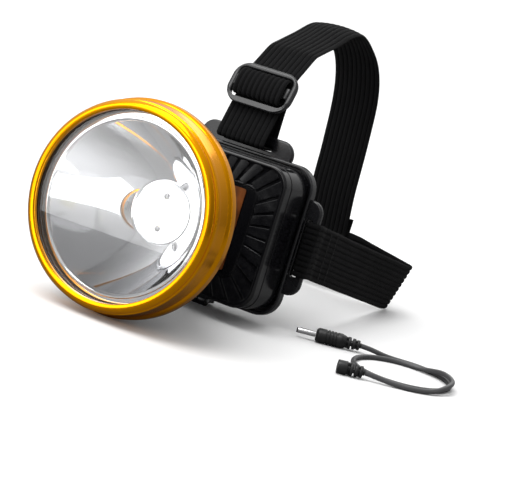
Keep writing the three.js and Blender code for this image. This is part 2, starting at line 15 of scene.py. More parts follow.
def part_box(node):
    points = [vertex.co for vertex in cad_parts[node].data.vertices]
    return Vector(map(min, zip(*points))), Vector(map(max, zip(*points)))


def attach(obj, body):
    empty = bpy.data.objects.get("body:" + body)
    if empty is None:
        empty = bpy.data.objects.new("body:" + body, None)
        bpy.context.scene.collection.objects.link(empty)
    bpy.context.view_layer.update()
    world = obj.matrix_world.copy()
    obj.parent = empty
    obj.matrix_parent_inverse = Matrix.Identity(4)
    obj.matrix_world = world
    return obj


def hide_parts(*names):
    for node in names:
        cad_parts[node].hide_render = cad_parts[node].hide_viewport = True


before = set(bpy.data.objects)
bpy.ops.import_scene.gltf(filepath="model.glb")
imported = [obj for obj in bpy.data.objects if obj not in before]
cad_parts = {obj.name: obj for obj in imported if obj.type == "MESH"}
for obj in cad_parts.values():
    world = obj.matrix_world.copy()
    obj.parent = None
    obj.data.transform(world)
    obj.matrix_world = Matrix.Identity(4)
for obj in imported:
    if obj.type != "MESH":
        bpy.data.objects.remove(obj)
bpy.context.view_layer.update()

bl_info = {
    "name": "Rechargeable Cap Lamp",
    "version": (1, 0, 0),
    "blender": (4, 5, 0),
    "location": "View3D > Sidebar > Cap Lamp",
    "description": "Builds a rechargeable cap lamp, its straps and its charging lead",
    "category": "Add Mesh",
}

MM = 0.001
TURN = 2 * pi

# ------------------------------------------------------------------ places
HINGE = Vector((0, 91, -36))
BEZEL_REST = 46 - 36 - 2.6  # the bezel's rear bead and the hinge lugs stand on one level line
TILT = atan2(BEZEL_REST, 91 - 17 + 1)


def middle(node):
    low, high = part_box(node)
    return (low + high) / 2


def size_of(node):
    low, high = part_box(node)
    return high - low


LEVEL = Matrix.Rotation(-TILT, 4, "X") @ Matrix.Scale(MM, 4)
LAMP = Matrix.Translation(middle("hinge_pin") - LEVEL @ HINGE) @ LEVEL
LEAD_SHIFT = (LAMP.translation.x + 0.103, LAMP.translation.y + 0.093, 0)
LEAD = Matrix.Translation(LEAD_SHIFT) @ Matrix.Rotation(radians(26.6), 4, "Z") @ Matrix.Scale(MM, 4)

# ------------------------------------------------------------------ driving sizes, millimetres
FINE = 160  # steps round the large turned pieces
SMALL = 48  # steps round the small turned pieces
BEZEL = {"inner": 39.8, "bore": 42.4, "length": 17}
BOWL = {"mouth": 36, "throat": 13.4, "front": 6, "depth": 32.5, "wall": 1.2}
BOARD = {"front": 39.6, "radius": 15, "thick": 1.7, "screw": 7.2}
CASE = {"half_w": 37.2, "half_h": 32.6, "corner": 9.5, "front": 71.2, "split": 77.4, "back": 95.4}
PANEL_FRONT = 73.6
SCREW = {"x": 24, "z": 29}
SIDE = {"y": 84.5, "switch": 4.9, "jack": -4.9}
PLATE = {"half_w": 39.3, "half_h": 34.8, "corner": 10.5, "rim": 93.6, "front": 96, "back": 98.8}
HEAD = {"side": 45.3, "fold": 220, "rear": 213.2, "drop": 13.4, "lift": 7, "lean": 0.29, "flat": 15}
CROWN = {"low": (89.3, 40.9), "high": (101.5, 70.5)}
CORD = {"loop": 22.4, "spread": 1.3, "turns": 1.5, "hump": 2.9}
PLUG_ROW = CORD["loop"] + CORD["spread"]
CROWN_BOW = 1.6  # how far the crown strap bows across its width at the top
ARCH_EASING = 55  # rounds that ease the crown strap's arch into one sweep
SLAT_TILT = 0.13  # how far each slat of the case's border leans towards the next
LINE_STEP = 2.2  # longest leg of a strap's drawn line
RING_SHARE = 0.62  # how much of its pitch each ring of a strain relief fills
SCREW_PLACES = [(x, z) for x in (-SCREW["x"], SCREW["x"]) for z in (-SCREW["z"], SCREW["z"])]
PAD = {"half_w": 35, "half_h": 26, "corner": 12, "low": 0.3, "high": 5.3}
SLIDER = {"half_w": 16.5, "half_h": 10, "corner": 7.5, "lower_bar": -6, "bow": 0.7, "flat": -3.85}
SLIDER_WINDOW = (13.6, 7.3, 2.6, (0, 0))
WOUND = {"long": 6.0, "high": 2.5, "middle": 4.15, "width": 24.6}  # the turn on a slider's bar

# ------------------------------------------------------------------ camera and light, metres and degrees
CAMERA = {"lens": 128.3, "sensor": 36, "azimuth": 25.467, "elevation": 10.211, "roll": 14.83}
CAMERA_PLACE = (0.36207, -0.73197, 0.17527)
FLOOR_HALF = 6
LIGHT_TARGET = Vector((0, -0.06, 0.04))
SOFTBOXES = [  # name, place, width, height and radiance
    ("Front Box", (-0.7, -1.5, 0.4), 1.5, 0.85, 2.4),
    ("Key Box", (-0.55, -0.8, 0.95), 0.6, 0.55, 2.6),
    ("Right Strip", (0.9, 0.1, 0.35), 0.12, 0.9, 1.6),
    ("Back Strip", (-0.2, 0.9, 0.7), 0.9, 0.25, 1.6),
]


# ------------------------------------------------------------------ settings
def length(name, description, default, low=0.0001, high=1.0):
    return bpy.props.FloatProperty(
        name=name, description=description, default=default, min=low, max=high, precision=4, unit="LENGTH"
    )


def colour(name, description, default):
    return bpy.props.FloatVectorProperty(
        name=name, description=description, default=default, size=3, min=0, max=1, subtype="COLOR"
    )


def factor(name, description, default, high=1.0):
    return bpy.props.FloatProperty(
        name=name, description=description, default=default, min=0, max=high, subtype="FACTOR"
    )


class LampSizes(bpy.types.PropertyGroup):
    """Sizes that a user may change"""

    bezel_radius: length("Bezel Radius", "Outer radius of the front ring", size_of("bezel_ring").x / 2)
    strap_width: length("Strap Width", "Width of the woven straps", size_of("crown_strap").x)
    strap_thickness: length("Strap Thickness", "Thickness of the woven straps at their ribs", 0.0014)
    rib_height: length("Rib Height", "How far the straps' lengthwise ribs stand out", 0.0005)
    strap_ribs: bpy.props.IntProperty(
        name="Strap Ribs", description="Lengthwise ribs across a strap", default=10, min=2, max=20
    )
    border_ribs: bpy.props.IntProperty(
        name="Border Ribs", description="Ribs round the case's sloping border", default=36, min=8, max=72
    )
    cord_diameter: length("Cord Diameter", "Diameter of the charging lead", 0.0022)
    pad_crown: length("Pad Crown", "How far the forehead pad's middle swells", 0.0006)


class LampColours(bpy.types.PropertyGroup):
    """Colours that a user may change"""

    gold: colour("Gold", "Dyed metal of the front ring", (0.94, 0.37, 0.003))
    plastic: colour("Plastic", "Glossy plastic of the case and head", (0.0045, 0.0045, 0.0055))
    satin: colour("Satin Plastic", "Duller plastic of the strap plate", (0.007, 0.007, 0.0085))
    webbing: colour("Webbing", "Yarn of the straps", (0.0032, 0.0032, 0.0035))
    slider: colour("Sliders", "Nylon of the strap sliders", (0.012, 0.012, 0.013))
    cord: colour("Cord", "Sleeve of the charging lead", (0.06, 0.06, 0.062))
    label: colour("Label", "Printed sheet on the case's panel", (0.22, 0.06, 0.008))


class StageSettings(bpy.types.PropertyGroup):
    """Light and floor"""

    floor: factor("Floor Brightness", "How pale the floor is", 0.93)
    sky: factor("Sky", "Strength of the overhead dome", 1.0, 4.0)
    sun: factor("Sun", "Strength of the soft top light", 1.5, 8.0)
    boxes: factor("Softboxes", "Strength of the softboxes", 1.0, 8.0)


# ------------------------------------------------------------------ outlines
def rounded(corners, arc=5, closed=True):
    """The line through (u, v, radius) corners, each taken round an arc of that radius."""
    points = []
    last = len(corners) - 1
    for i, (u, v, radius) in enumerate(corners):
        corner = Vector((u, v))
        if radius == 0 or (not closed and i in (0, last)):
            points.append(corner)
            continue
        before = (Vector(corners[i - 1][:2]) - corner).normalized()
        after = (Vector(corners[(i + 1) % (last + 1)][:2]) - corner).normalized()
        half = before.angle(after) / 2
        centre = corner + (before + after).normalized() * radius / sin(half)
        start = corner + before * radius / tan(half) - centre
        end = corner + after * radius / tan(half) - centre
        sweep = pi - 2 * half
        for k in range(arc + 1):
            t = k / arc
            point = (start * sin((1 - t) * sweep) + end * sin(t * sweep)) / sin(sweep)
            points.append(centre + point)
    return points


def spaced(line, step):
    """The line again, with its long legs divided."""
    points = [line[0]]
    for target in line[1:]:
        start = points[-1]
        count = max(1, ceil((target - start).length / step))
        points += [start.lerp(target, i / count) for i in range(1, count + 1)]
    return points


def smoothstep(value, low, high):
    t = min(1, max(0, (value - low) / (high - low)))
    return t * t * (3 - 2 * t)


def clamp(value):
    return min(1, max(0, value))


# ------------------------------------------------------------------ shapes
def turned(profile, steps=FINE):
    """A (radius, y) profile spun about the Y axis: closed on itself, or open from axis to axis."""
    bm = bmesh.new()
    verts = [bm.verts.new((r, y, 0)) for r, y in profile]
    ring = verts + verts[:1] if profile[0][0] > 0 or profile[-1][0] > 0 else verts
    edges = [bm.edges.new(pair) for pair in zip(ring, ring[1:])]
    bmesh.ops.spin(bm, geom=verts + edges, axis=(0, 1, 0), angle=TURN, steps=steps, use_merge=True)
    bmesh.ops.remove_doubles(bm, verts=bm.verts, dist=1e-4)
    bmesh.ops.dissolve_degenerate(bm, edges=bm.edges, dist=1e-5)
    axis = [edge for edge in bm.edges if edge.is_wire]
    bmesh.ops.delete(bm, geom=axis, context="EDGES")
    bmesh.ops.recalc_face_normals(bm, faces=bm.faces)
    return bm


def lofted(sections, closed=True, steps=8):
    """A skin over (half_w, half_h, corner, y, centre) sections: a ring, or a body capped at both ends."""
    rows = []
    for half_w, half_h, corner, y, centre in sections:
        turn = min(corner, 0.998 * half_w, 0.998 * half_h)
        corners = [(half_w, half_h), (-half_w, half_h), (-half_w, -half_h), (half_w, -half_h)]
        line = rounded([(u, v, turn) for u, v in corners], steps)
        rows.append([(u + centre[0], y, v + centre[1]) for u, v in line])
    columns = len(rows[0])
    bands = len(rows) if closed else len(rows) - 1
    bm = bmesh.new()
    bmesh.ops.create_grid(bm, x_segments=bands, y_segments=columns, size=0.5)
    for vert in bm.verts:
        row = round((vert.co.x + 0.5) * bands) % len(rows)
        column = round((vert.co.y + 0.5) * columns) % columns
        vert.co = rows[row][column]
    bmesh.ops.remove_doubles(bm, verts=bm.verts, dist=1e-4)
    if not closed:
        rim = [edge for edge in bm.edges if edge.is_boundary]
        bmesh.ops.holes_fill(bm, edges=rim, sides=0)
    bmesh.ops.recalc_face_normals(bm, faces=bm.faces)
    return bm


def inset(profile, half_w, half_h, corner, centre=(0, 0), wide=1.0, keep=1.0):
    """Sections of a rounded rectangle from an (inset, y) profile."""
    return [
        (half_w - wide * away, half_h - away, max(corner - keep * away, 0.25), y, centre)
        for away, y in profile
    ]


def slab(half_w, half_h, corner, y0, y1, edge):
    """A rounded plate with round edges."""
    deep = min(half_w, half_h) / 2
    profile = rounded([(deep, y0, 0), (0, y0, edge), (0, y1, edge), (deep, y1, 0)], 4, closed=False)
    return lofted(inset(profile, half_w, half_h, corner), closed=False)


def windowed(outer, window, y0, y1, edge, inner_edge=0.3, steps=8):
    """A rounded plate with a rounded window. outer and window are (half_w, half_h, corner, centre)."""
    half_w, half_h, corner, centre = outer
    rim = rounded([(2 * edge, y0, 0), (0, y0, edge), (0, y1, edge), (2 * edge, y1, 0)], 4, closed=False)
    sections = inset(rim[1:-1], half_w, half_h, corner, centre)
    half_w, half_h, corner, centre = window
    turn = inner_edge
    lip = rounded([(-2 * turn, y1, 0), (0, y1, turn), (0, y0, turn), (-2 * turn, y0, 0)], 3, closed=False)
    sections += inset(lip[1:-1], half_w, half_h, corner, centre)
    return lofted(sections, steps=steps)


def block(low, high, edge=0.2, segments=2):
    """A box with round edges between two corners."""
    low, high = Vector(low), Vector(high)
    bm = bmesh.new()
    place = Matrix.Translation((low + high) / 2) @ Matrix.Diagonal((*(high - low), 1))
    bmesh.ops.create_cube(bm, size=1, matrix=place)
    bmesh.ops.bevel(
        bm, geom=list(bm.edges), offset=edge, offset_type="OFFSET", segments=segments,
        profile=0.5, affect="EDGES", material=-1,
    )
    return bm


def absorb(bm, *others):
    """Puts the other shapes into bm and frees them."""
    for other in others:
        mesh = bpy.data.meshes.new("part")
        other.to_mesh(mesh)
        bm.from_mesh(mesh)
        bpy.data.meshes.remove(mesh)
        other.free()
    return bm


def moved(bm, matrix):
    bmesh.ops.transform(bm, matrix=matrix, verts=bm.verts)
    return bm


def cut_away(bm, *cutters):
    """bm without the room that the cutters take."""
    tool_bm = absorb(bmesh.new(), *cutters)
    pair = []
    for part in (bm, tool_bm):
        mesh = bpy.data.meshes.new("cut")
        part.to_mesh(mesh)
        part.free()
        pair.append(bpy.data.objects.new("cut", mesh))
        bpy.context.collection.objects.link(pair[-1])
    target, tool = pair
    boolean = target.modifiers.new("cut", "BOOLEAN")
    boolean.operation = "DIFFERENCE"
    boolean.solver = "EXACT"
    boolean.object = tool
    graph = bpy.context.evaluated_depsgraph_get()
    result = bpy.data.meshes.new_from_object(target.evaluated_get(graph))
    kept = bmesh.new()
    kept.from_mesh(result)
    for item in pair:
        mesh = item.data
        bpy.data.objects.remove(item)
        bpy.data.meshes.remove(mesh)
    bpy.data.meshes.remove(result)
    return kept


ALONG_X = Matrix.Rotation(-pi / 2, 4, "Z")  # a shape turned about Y, laid along X


def bar(radius, start, end, y, z, steps=SMALL, edge=0.15):
    """A round bar along X with eased ends."""
    profile = rounded(
        [(0, start, 0), (radius, start, edge), (radius, end, edge), (0, end, 0)], 3, closed=False
    )
    return moved(turned(profile, steps), Matrix.Translation((0, y, z)) @ ALONG_X)


def collar(bore, radius, start, end, y, z, steps=SMALL, edge=0.35):
    """A round bar along X with a bore through it."""
    corners = [(bore, start, 0.1), (radius, start, edge), (radius, end, edge), (bore, end, 0.1)]
    return moved(turned(rounded(corners, 3), steps), Matrix.Translation((0, y, z)) @ ALONG_X)


def link_piece(bm, name, body, material, nodes=(), place=LAMP, sharp=40, weighted=False):
    """A finished piece: placed in the row frame, shaded, riding on its body and standing for its nodes."""
    bmesh.ops.transform(bm, matrix=place, verts=bm.verts)
    mesh = bpy.data.meshes.new(name)
    bm.to_mesh(mesh)
    bm.free()
    mesh.shade_smooth()
    mesh.set_sharp_from_angle(angle=radians(sharp))
    mesh.materials.append(material)
    piece = bpy.data.objects.new(name, mesh)
    bpy.context.collection.objects.link(piece)
    if weighted:
        flat = piece.modifiers.new("flat faces", "WEIGHTED_NORMAL")
        flat.keep_sharp = True
    if nodes:
        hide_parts(*nodes)
    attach(piece, body)
    return piece


# ------------------------------------------------------------------ shader helpers
def add_node(tree, kind, inputs=None, **values):
    """A shader node whose inputs are linked from sockets or set to plain values."""
    made = tree.nodes.new("ShaderNode" + kind)
    for key, value in values.items():
        setattr(made, key, value)
    for key, source in (inputs or {}).items():
        if isinstance(source, bpy.types.NodeSocket):
            tree.links.new(source, made.inputs[key])
        else:
            made.inputs[key].default_value = source
    return made


def maths(tree, operation, *values):
    return add_node(tree, "Math", dict(enumerate(values)), operation=operation).outputs[0]


def ranged(tree, value, low, high, to_low=0.0, to_high=1.0):
    inputs = {"Value": value, "From Min": low, "From Max": high, "To Min": to_low, "To Max": to_high}
    return add_node(tree, "MapRange", inputs).outputs[0]


def mixed(tree, share, first, second):
    """Two colours mixed by a share."""
    inputs = {0: share, 6: first, 7: second}
    return add_node(tree, "Mix", inputs, data_type="RGBA").outputs[2]


def rgba(tint, scale=1.0):
    return (tint[0] * scale, tint[1] * scale, tint[2] * scale, 1)


def effect(name, inputs, outputs):
    """A node group with those named inputs and outputs."""
    group = bpy.data.node_groups.new(name, "ShaderNodeTree")
    for label, kind, value in inputs:
        socket = group.interface.new_socket(label, in_out="INPUT", socket_type="NodeSocket" + kind)
        if value is not None:
            socket.default_value = value
    for label, kind in outputs:
        group.interface.new_socket(label, in_out="OUTPUT", socket_type="NodeSocket" + kind)
    return group, group.nodes.new("NodeGroupInput"), group.nodes.new("NodeGroupOutput")


def grain_effect():
    """Moulding or brushing grain on object coordinates: a height, and a slow variation."""
    group, start, end = effect(
        "Grain", [("Scale", "Float", 900.0), ("Stretch", "Vector", (1, 1, 1))],
        [("Height", "Float"), ("Cloud", "Float")],
    )
    where = add_node(group, "TexCoord").outputs["Object"]
    bent = add_node(group, "VectorMath", {0: where, 1: start.outputs["Stretch"]}, operation="MULTIPLY")
    fine = add_node(
        group, "TexNoise", {"Vector": bent.outputs[0], "Scale": start.outputs["Scale"], "Detail": 4.0}
    )
    slow = add_node(group, "TexNoise", {"Vector": where, "Scale": 55.0, "Detail": 3.0, "Roughness": 0.6})
    group.links.new(fine.outputs[0], end.inputs["Height"])
    group.links.new(slow.outputs[0], end.inputs["Cloud"])
    return group


def wear_effect():
    """A mask of rubbed edges, broken up by noise."""
    group, start, end = effect(
        "Edge Wear", [("Amount", "Float", 0.3), ("Break Up", "Float", 400.0)], [("Mask", "Float")]
    )
    point = add_node(group, "NewGeometry").outputs["Pointiness"]
    where = add_node(group, "TexCoord").outputs["Object"]
    speckle = add_node(
        group, "TexNoise", {"Vector": where, "Scale": start.outputs["Break Up"], "Detail": 5.0}
    )
    edge = ranged(group, point, 0.515, 0.58)
    broken = ranged(group, speckle.outputs[0], 0.42, 0.62)
    worn = maths(group, "MULTIPLY", maths(group, "MULTIPLY", edge, broken), start.outputs["Amount"])
    group.links.new(worn, end.inputs["Mask"])
    return group


def dust_effect():
    """A mask of dust that has settled on what faces up."""
    group, start, end = effect(
        "Dust", [("Amount", "Float", 0.1), ("Scale", "Float", 300.0)], [("Mask", "Float")]
    )
    normal = add_node(group, "NewGeometry").outputs["Normal"]
    up = add_node(group, "SeparateXYZ", {0: normal}).outputs["Z"]
    where = add_node(group, "TexCoord").outputs["Object"]
    specks = add_node(
        group, "TexNoise", {"Vector": where, "Scale": start.outputs["Scale"], "Detail": 8.0, "Roughness": 0.7}
    )
    facing = ranged(group, up, -0.2, 1.0)
    settled = maths(group, "MULTIPLY", facing, ranged(group, specks.outputs[0], 0.48, 0.72))
    group.links.new(maths(group, "MULTIPLY", settled, start.outputs["Amount"]), end.inputs["Mask"])
    return group


def weave_effect():
    """Ribbed weave on a map in metres: lengthwise cords crossed by weft picks."""
    group, start, end = effect(
        "Weave",
        [
            ("Map", "Vector", None), ("Rib", "Float", 0.0025), ("Pick", "Float", 0.0007),
            ("Yarn", "Float", 0.0004)
        ],
        [("Height", "Float"), ("Rib Gap Shade", "Float"), ("Yarn", "Float")],
    )
    parts = add_node(group, "SeparateXYZ", {0: start.outputs["Map"]})
    along, across = parts.outputs["X"], parts.outputs["Y"]
    wobble = add_node(group, "TexNoise", {"Vector": start.outputs["Map"], "Scale": 260.0, "Detail": 3.0})
    drift = maths(group, "MULTIPLY", maths(group, "SUBTRACT", wobble.outputs[0], 0.5), 0.0006)
    pick_place = maths(group, "ADD", along, drift)
    yarn_place = maths(group, "ADD", across, drift)
    pick_phase = maths(group, "MULTIPLY", maths(group, "DIVIDE", pick_place, start.outputs["Pick"]), TURN)
    yarn_phase = maths(group, "MULTIPLY", maths(group, "DIVIDE", yarn_place, start.outputs["Yarn"]), TURN)
    rib_phase = maths(group, "MULTIPLY", maths(group, "DIVIDE", across, start.outputs["Rib"]), pi)
    rib = maths(group, "ABSOLUTE", maths(group, "SINE", rib_phase))
    weft = maths(group, "SINE", maths(group, "ADD", pick_phase, maths(group, "MULTIPLY", yarn_phase, 0.5)))
    warp = maths(group, "SINE", yarn_phase)
    crossing = maths(group, "MULTIPLY", weft, warp)
    gap = ranged(group, rib, 0.0, 0.35, 1.0, 0.0)
    raised = maths(group, "ADD", crossing, wobble.outputs[0])
    height = maths(group, "SUBTRACT", raised, maths(group, "MULTIPLY", gap, 0.8))
    group.links.new(height, end.inputs["Height"])
    # The gap mask is used for a painted shade between the straps' ribs, and the yarn crossing mask for a
    # painted highlight on the raised yarns.
    group.links.new(gap, end.inputs["Rib Gap Shade"])
    group.links.new(ranged(group, crossing, -1.0, 1.0), end.inputs["Yarn"])
    return group


EFFECTS = {}


def use(tree, name, **values):
    """A shared effect placed in a material, built the first time that it is asked for."""
    makers = {"Grain": grain_effect, "Edge Wear": wear_effect, "Dust": dust_effect, "Weave": weave_effect}
    if name not in EFFECTS:
        EFFECTS[name] = makers[name]()
    made = tree.nodes.new("ShaderNodeGroup")
    made.node_tree = EFFECTS[name]
    for key, value in values.items():
        socket = made.inputs[key.replace("_", " ")]
        if isinstance(value, bpy.types.NodeSocket):
            tree.links.new(value, socket)
        else:
            socket.default_value = value
    return made.outputs


MATERIALS = {}


def finish(name, roughness, metallic=0.0, **plain):
    """A new material: its tree and its Principled shader, with plain values set on its sockets."""
    made = bpy.data.materials.new(name)
    made.use_nodes = True
    MATERIALS[name] = made
    shader = made.node_tree.nodes["Principled BSDF"]
    shader.inputs["Roughness"].default_value = roughness
    shader.inputs["Metallic"].default_value = metallic
    for key, value in plain.items():
        shader.inputs[key.replace("_", " ")].default_value = value
    return made.node_tree, shader


def bump(tree, shader, height, strength, distance=0.0002):
    made = add_node(tree, "Bump", {"Height": height, "Strength": strength, "Distance": distance})
    tree.links.new(made.outputs[0], shader.inputs["Normal"])


def moulded(name, tint, roughness, grain=900.0, strength=0.08, wear=0.25, dust=0.05, spread=0.08, **plain):
    """Moulded plastic or rubber: fine grain, rubbed edges and a little dust."""
    tree, shader = finish(name, roughness, **plain)
    grained = use(tree, "Grain", Scale=grain)
    worn = use(tree, "Edge Wear", Amount=wear)["Mask"]
    dusty = use(tree, "Dust", Amount=dust)["Mask"]
    base = mixed(tree, grained["Cloud"], rgba(tint, 0.75), rgba(tint, 1.25))
    rubbed = mixed(tree, worn, base, rgba([channel * 1.6 + 0.03 for channel in tint]))
    tree.links.new(mixed(tree, dusty, rubbed, (0.25, 0.24, 0.22, 1)), shader.inputs["Base Color"])
    rough = ranged(tree, grained["Cloud"], 0.3, 0.7, roughness - spread, roughness + spread)
    tree.links.new(maths(tree, "ADD", rough, maths(tree, "MULTIPLY", dusty, 0.5)), shader.inputs["Roughness"])
    bump(tree, shader, grained["Height"], strength)
    return MATERIALS[name]


def metal(
    name, tint, roughness, stretch=(1, 1, 1), grain=700.0, strength=0.03, wear=0.0, spread=0.04, **plain
):
    """Bare or dyed metal with a brushing that follows the stretch."""
    tree, shader = finish(name, roughness, 1.0, **plain)
    grained = use(tree, "Grain", Scale=grain, Stretch=stretch)
    worn = use(tree, "Edge Wear", Amount=wear)["Mask"]
    base = mixed(tree, grained["Cloud"], rgba(tint, 0.94), rgba(tint))
    bright = rgba([min(1, channel * 0.5 + 0.5) for channel in tint])
    tree.links.new(mixed(tree, worn, base, bright), shader.inputs["Base Color"])
    rough = ranged(tree, grained["Cloud"], 0.3, 0.7, roughness - spread, roughness + spread)
    tree.links.new(rough, shader.inputs["Roughness"])
    bump(tree, shader, grained["Height"], strength, 0.00005)
    return MATERIALS[name]


def clear_lens():
    """Clear plastic that lets the lamps' light through."""
    tree, shader = finish("Clear Lens", 0.0, Transmission_Weight=1.0, IOR=1.49)
    smudge = use(tree, "Grain", Scale=90.0)
    shader.inputs["Base Color"].default_value = (1, 1, 1, 1)
    tree.links.new(ranged(tree, smudge["Cloud"], 0.55, 0.9, 0.0, 0.03), shader.inputs["Roughness"])
    path = add_node(tree, "LightPath").outputs["Is Shadow Ray"]
    open_air = add_node(tree, "BsdfTransparent").outputs[0]
    pane = add_node(tree, "MixShader", {0: path, 1: shader.outputs[0], 2: open_air})
    tree.links.new(pane.outputs[0], tree.nodes["Material Output"].inputs["Surface"])
    return MATERIALS["Clear Lens"]


def glowing(name, tint, glow, strength, roughness=0.4):
    tree, shader = finish(name, roughness, Emission_Strength=strength)
    grained = use(tree, "Grain", Scale=1500.0)
    tree.links.new(mixed(tree, grained["Cloud"], rgba(tint, 0.9), rgba(tint)), shader.inputs["Base Color"])
    tree.links.new(
        mixed(tree, grained["Cloud"], rgba(glow, 0.97), rgba(glow)), shader.inputs["Emission Color"]
    )
    bump(tree, shader, grained["Height"], 0.05)
    return MATERIALS[name]


def webbing_material(name, tint, map_name="weave"):
    """Woven elastic: ribs, crossing yarns, pale fibres and a soft sheen, with a painted highlight on the
    raised yarns and a painted shade in the gaps between ribs.
    """
    tree, shader = finish(name, 0.85, Sheen_Weight=0.015, Sheen_Roughness=0.4, Specular_IOR_Level=0.12)
    where = add_node(tree, "UVMap", uv_map=map_name).outputs[0]
    woven = use(tree, "Weave", Map=where)
    fibres = add_node(tree, "TexNoise", {"Vector": where, "Scale": 2600.0, "Detail": 3.0}).outputs[0]
    # The raised yarn crossings are painted lighter than the low ones: a painted highlight.
    base = mixed(tree, woven["Yarn"], rgba(tint, 0.5), rgba(tint, 2.6))
    lint = maths(tree, "MULTIPLY", ranged(tree, fibres, 0.62, 0.8), 0.35)
    linty = mixed(tree, lint, base, rgba([channel + 0.02 for channel in tint]))
    # The gaps between the ribs are painted near black: a painted shade.
    tree.links.new(mixed(tree, woven["Rib Gap Shade"], linty, rgba(tint, 0.1)), shader.inputs["Base Color"])
    tree.links.new(ranged(tree, woven["Yarn"], 0.0, 1.0, 0.95, 0.7), shader.inputs["Roughness"])
    bump(tree, shader, woven["Height"], 0.7, 0.00012)
    return MATERIALS[name]


def foam_material(tint):
    """Closed-cell foam with pores painted darker as shade, under a thin knit face."""
    tree, shader = finish("Foam", 0.9, Sheen_Weight=0.1, Specular_IOR_Level=0.2)
    where = add_node(tree, "TexCoord").outputs["Object"]
    pores = add_node(tree, "TexVoronoi", {"Vector": where, "Scale": 900.0}).outputs["Distance"]
    grained = use(tree, "Grain", Scale=1400.0)
    # The pores are painted darker than the cell walls: a painted shade in the hollows.
    base = mixed(tree, ranged(tree, pores, 0.1, 0.5), rgba(tint, 0.4), rgba(tint, 1.4))
    dusty = use(tree, "Dust", Amount=0.08)["Mask"]
    tree.links.new(mixed(tree, dusty, base, (0.2, 0.2, 0.19, 1)), shader.inputs["Base Color"])
    tree.links.new(ranged(tree, grained["Cloud"], 0.3, 0.7, 0.82, 0.98), shader.inputs["Roughness"])
    bump(tree, shader, maths(tree, "ADD", pores, grained["Height"]), 0.5)
    return MATERIALS["Foam"]


def label_material(tint):
    """A printed sheet: warm patches and bands with a plain border, and no lettering."""
    tree, shader = finish("Label", 0.35, Coat_Weight=0.4)
    where = add_node(tree, "TexCoord").outputs["Object"]
    clouds = add_node(tree, "TexNoise", {"Vector": where, "Scale": 90.0, "Detail": 2.0}).outputs[0]
    bands = add_node(
        tree, "TexWave", {"Vector": where, "Scale": 70.0, "Distortion": 6.0, "Detail": 1.0}
    ).outputs[1]
    warm = mixed(tree, ranged(tree, clouds, 0.35, 0.65), rgba(tint, 0.25), rgba(tint, 1.6))
    tree.links.new(
        mixed(tree, maths(tree, "MULTIPLY", bands, 0.4), warm, rgba(tint, 0.5)), shader.inputs["Base Color"]
    )
    tree.links.new(ranged(tree, clouds, 0.3, 0.7, 0.3, 0.42), shader.inputs["Roughness"])
    return MATERIALS["Label"]


def paint(material, *nodes):
    """A better material in the slots of CAD nodes that stay."""
    for name in nodes:
        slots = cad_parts[name].data.materials
        slots.clear()
        slots.append(material)


# ------------------------------------------------------------------ webbing
RIB_STEPS = 6


def webbing(name, line, place, body, slot_nodes, closed=False, width=None, wander=0.0, seed=0.0):
    """A ribbed band bent along a flat line. place(u, v, w) puts a point of the line, and its distance
    across the width, into the lamp's frame."""
    sizes = bpy.context.scene.cap_lamp_sizes
    width = width or sizes.strap_width / MM
    half = sizes.strap_thickness / MM / 2
    ribs, rib_height = sizes.strap_ribs, sizes.rib_height / MM
    across = ribs * RIB_STEPS
    slices = len(line) - 1
    run = [0.0]
    for start, end in zip(line, line[1:]):
        run.append(run[-1] + (end - start).length)
    before = line[-2] if closed else line[0]
    after = line[1] if closed else line[-1]
    padded_line = [before, *line, after]
    bm = bmesh.new()
    map_layer = bm.loops.layers.uv.new("weave")
    bmesh.ops.create_grid(bm, x_segments=slices, y_segments=2 * across, size=0.5)
    cells = {v: (round((v.co.x + 0.5) * slices), round((v.co.y + 0.5) * 2 * across)) for v in bm.verts}
    for face in bm.faces:
        for loop in face.loops:
            i, column = cells[loop.vert]
            loop[map_layer].uv = (run[i] * MM, column * width / across * MM)
    for vert, (i, column) in cells.items():
        share = column / across if column <= across else 2 - column / across
        side = 1 if column <= across else -1
        edge = sqrt(max(0, 1 - abs(2 * share - 1) ** 26))
        ridge = sqrt(abs(sin(pi * ribs * share)))
        along = (padded_line[i + 2] - padded_line[i]).normalized()
        normal = Vector((-along.y, along.x))
        drift = noise.noise(Vector((run[i] / 16, share * 1.2, seed))) * wander
        sway = noise.noise(Vector((run[i] / 24, 7.0, seed))) * wander * 0.8
        rise = side * (half * edge - rib_height * (1 - ridge) * edge) + drift
        point = line[i] + normal * rise
        vert.co = place(point.x, point.y, (share - 0.5) * width + sway)
    bmesh.ops.remove_doubles(bm, verts=bm.verts, dist=1e-3)
    rim = [edge for edge in bm.edges if edge.is_boundary]
    if rim:
        bmesh.ops.holes_fill(bm, edges=rim, sides=0)
    bmesh.ops.recalc_face_normals(bm, faces=bm.faces)
    cloth = webbing_once()
    piece = link_piece(bm, name, body, cloth, slot_nodes, sharp=75)
    return piece, run[-1] * MM


def webbing_once():
    if "Webbing" not in MATERIALS:
        webbing_material("Webbing", bpy.context.scene.cap_lamp_colours.webbing)
    return MATERIALS["Webbing"]


def stitches(path, across, size=(1.1, 0.32, 0.26), pitch=1.9):
    """A row of thread stitches along a line of points: flattened beads."""
    bm = bmesh.new()
    for start, end in zip(path, path[1:]):
        run = end - start
        count = max(1, round(run.length / pitch))
        frame_x = run.normalized()
        frame_z = frame_x.cross(across).normalized()
        basis = Matrix((frame_x, across, frame_z)).transposed().to_4x4()
        for i in range(count):
            spot = start + run * ((i + 0.5) / count)
            place = Matrix.Translation(spot) @ basis @ Matrix.Diagonal((*size, 1))
            bmesh.ops.create_uvsphere(bm, u_segments=8, v_segments=5, radius=0.75, matrix=place)
    return bm


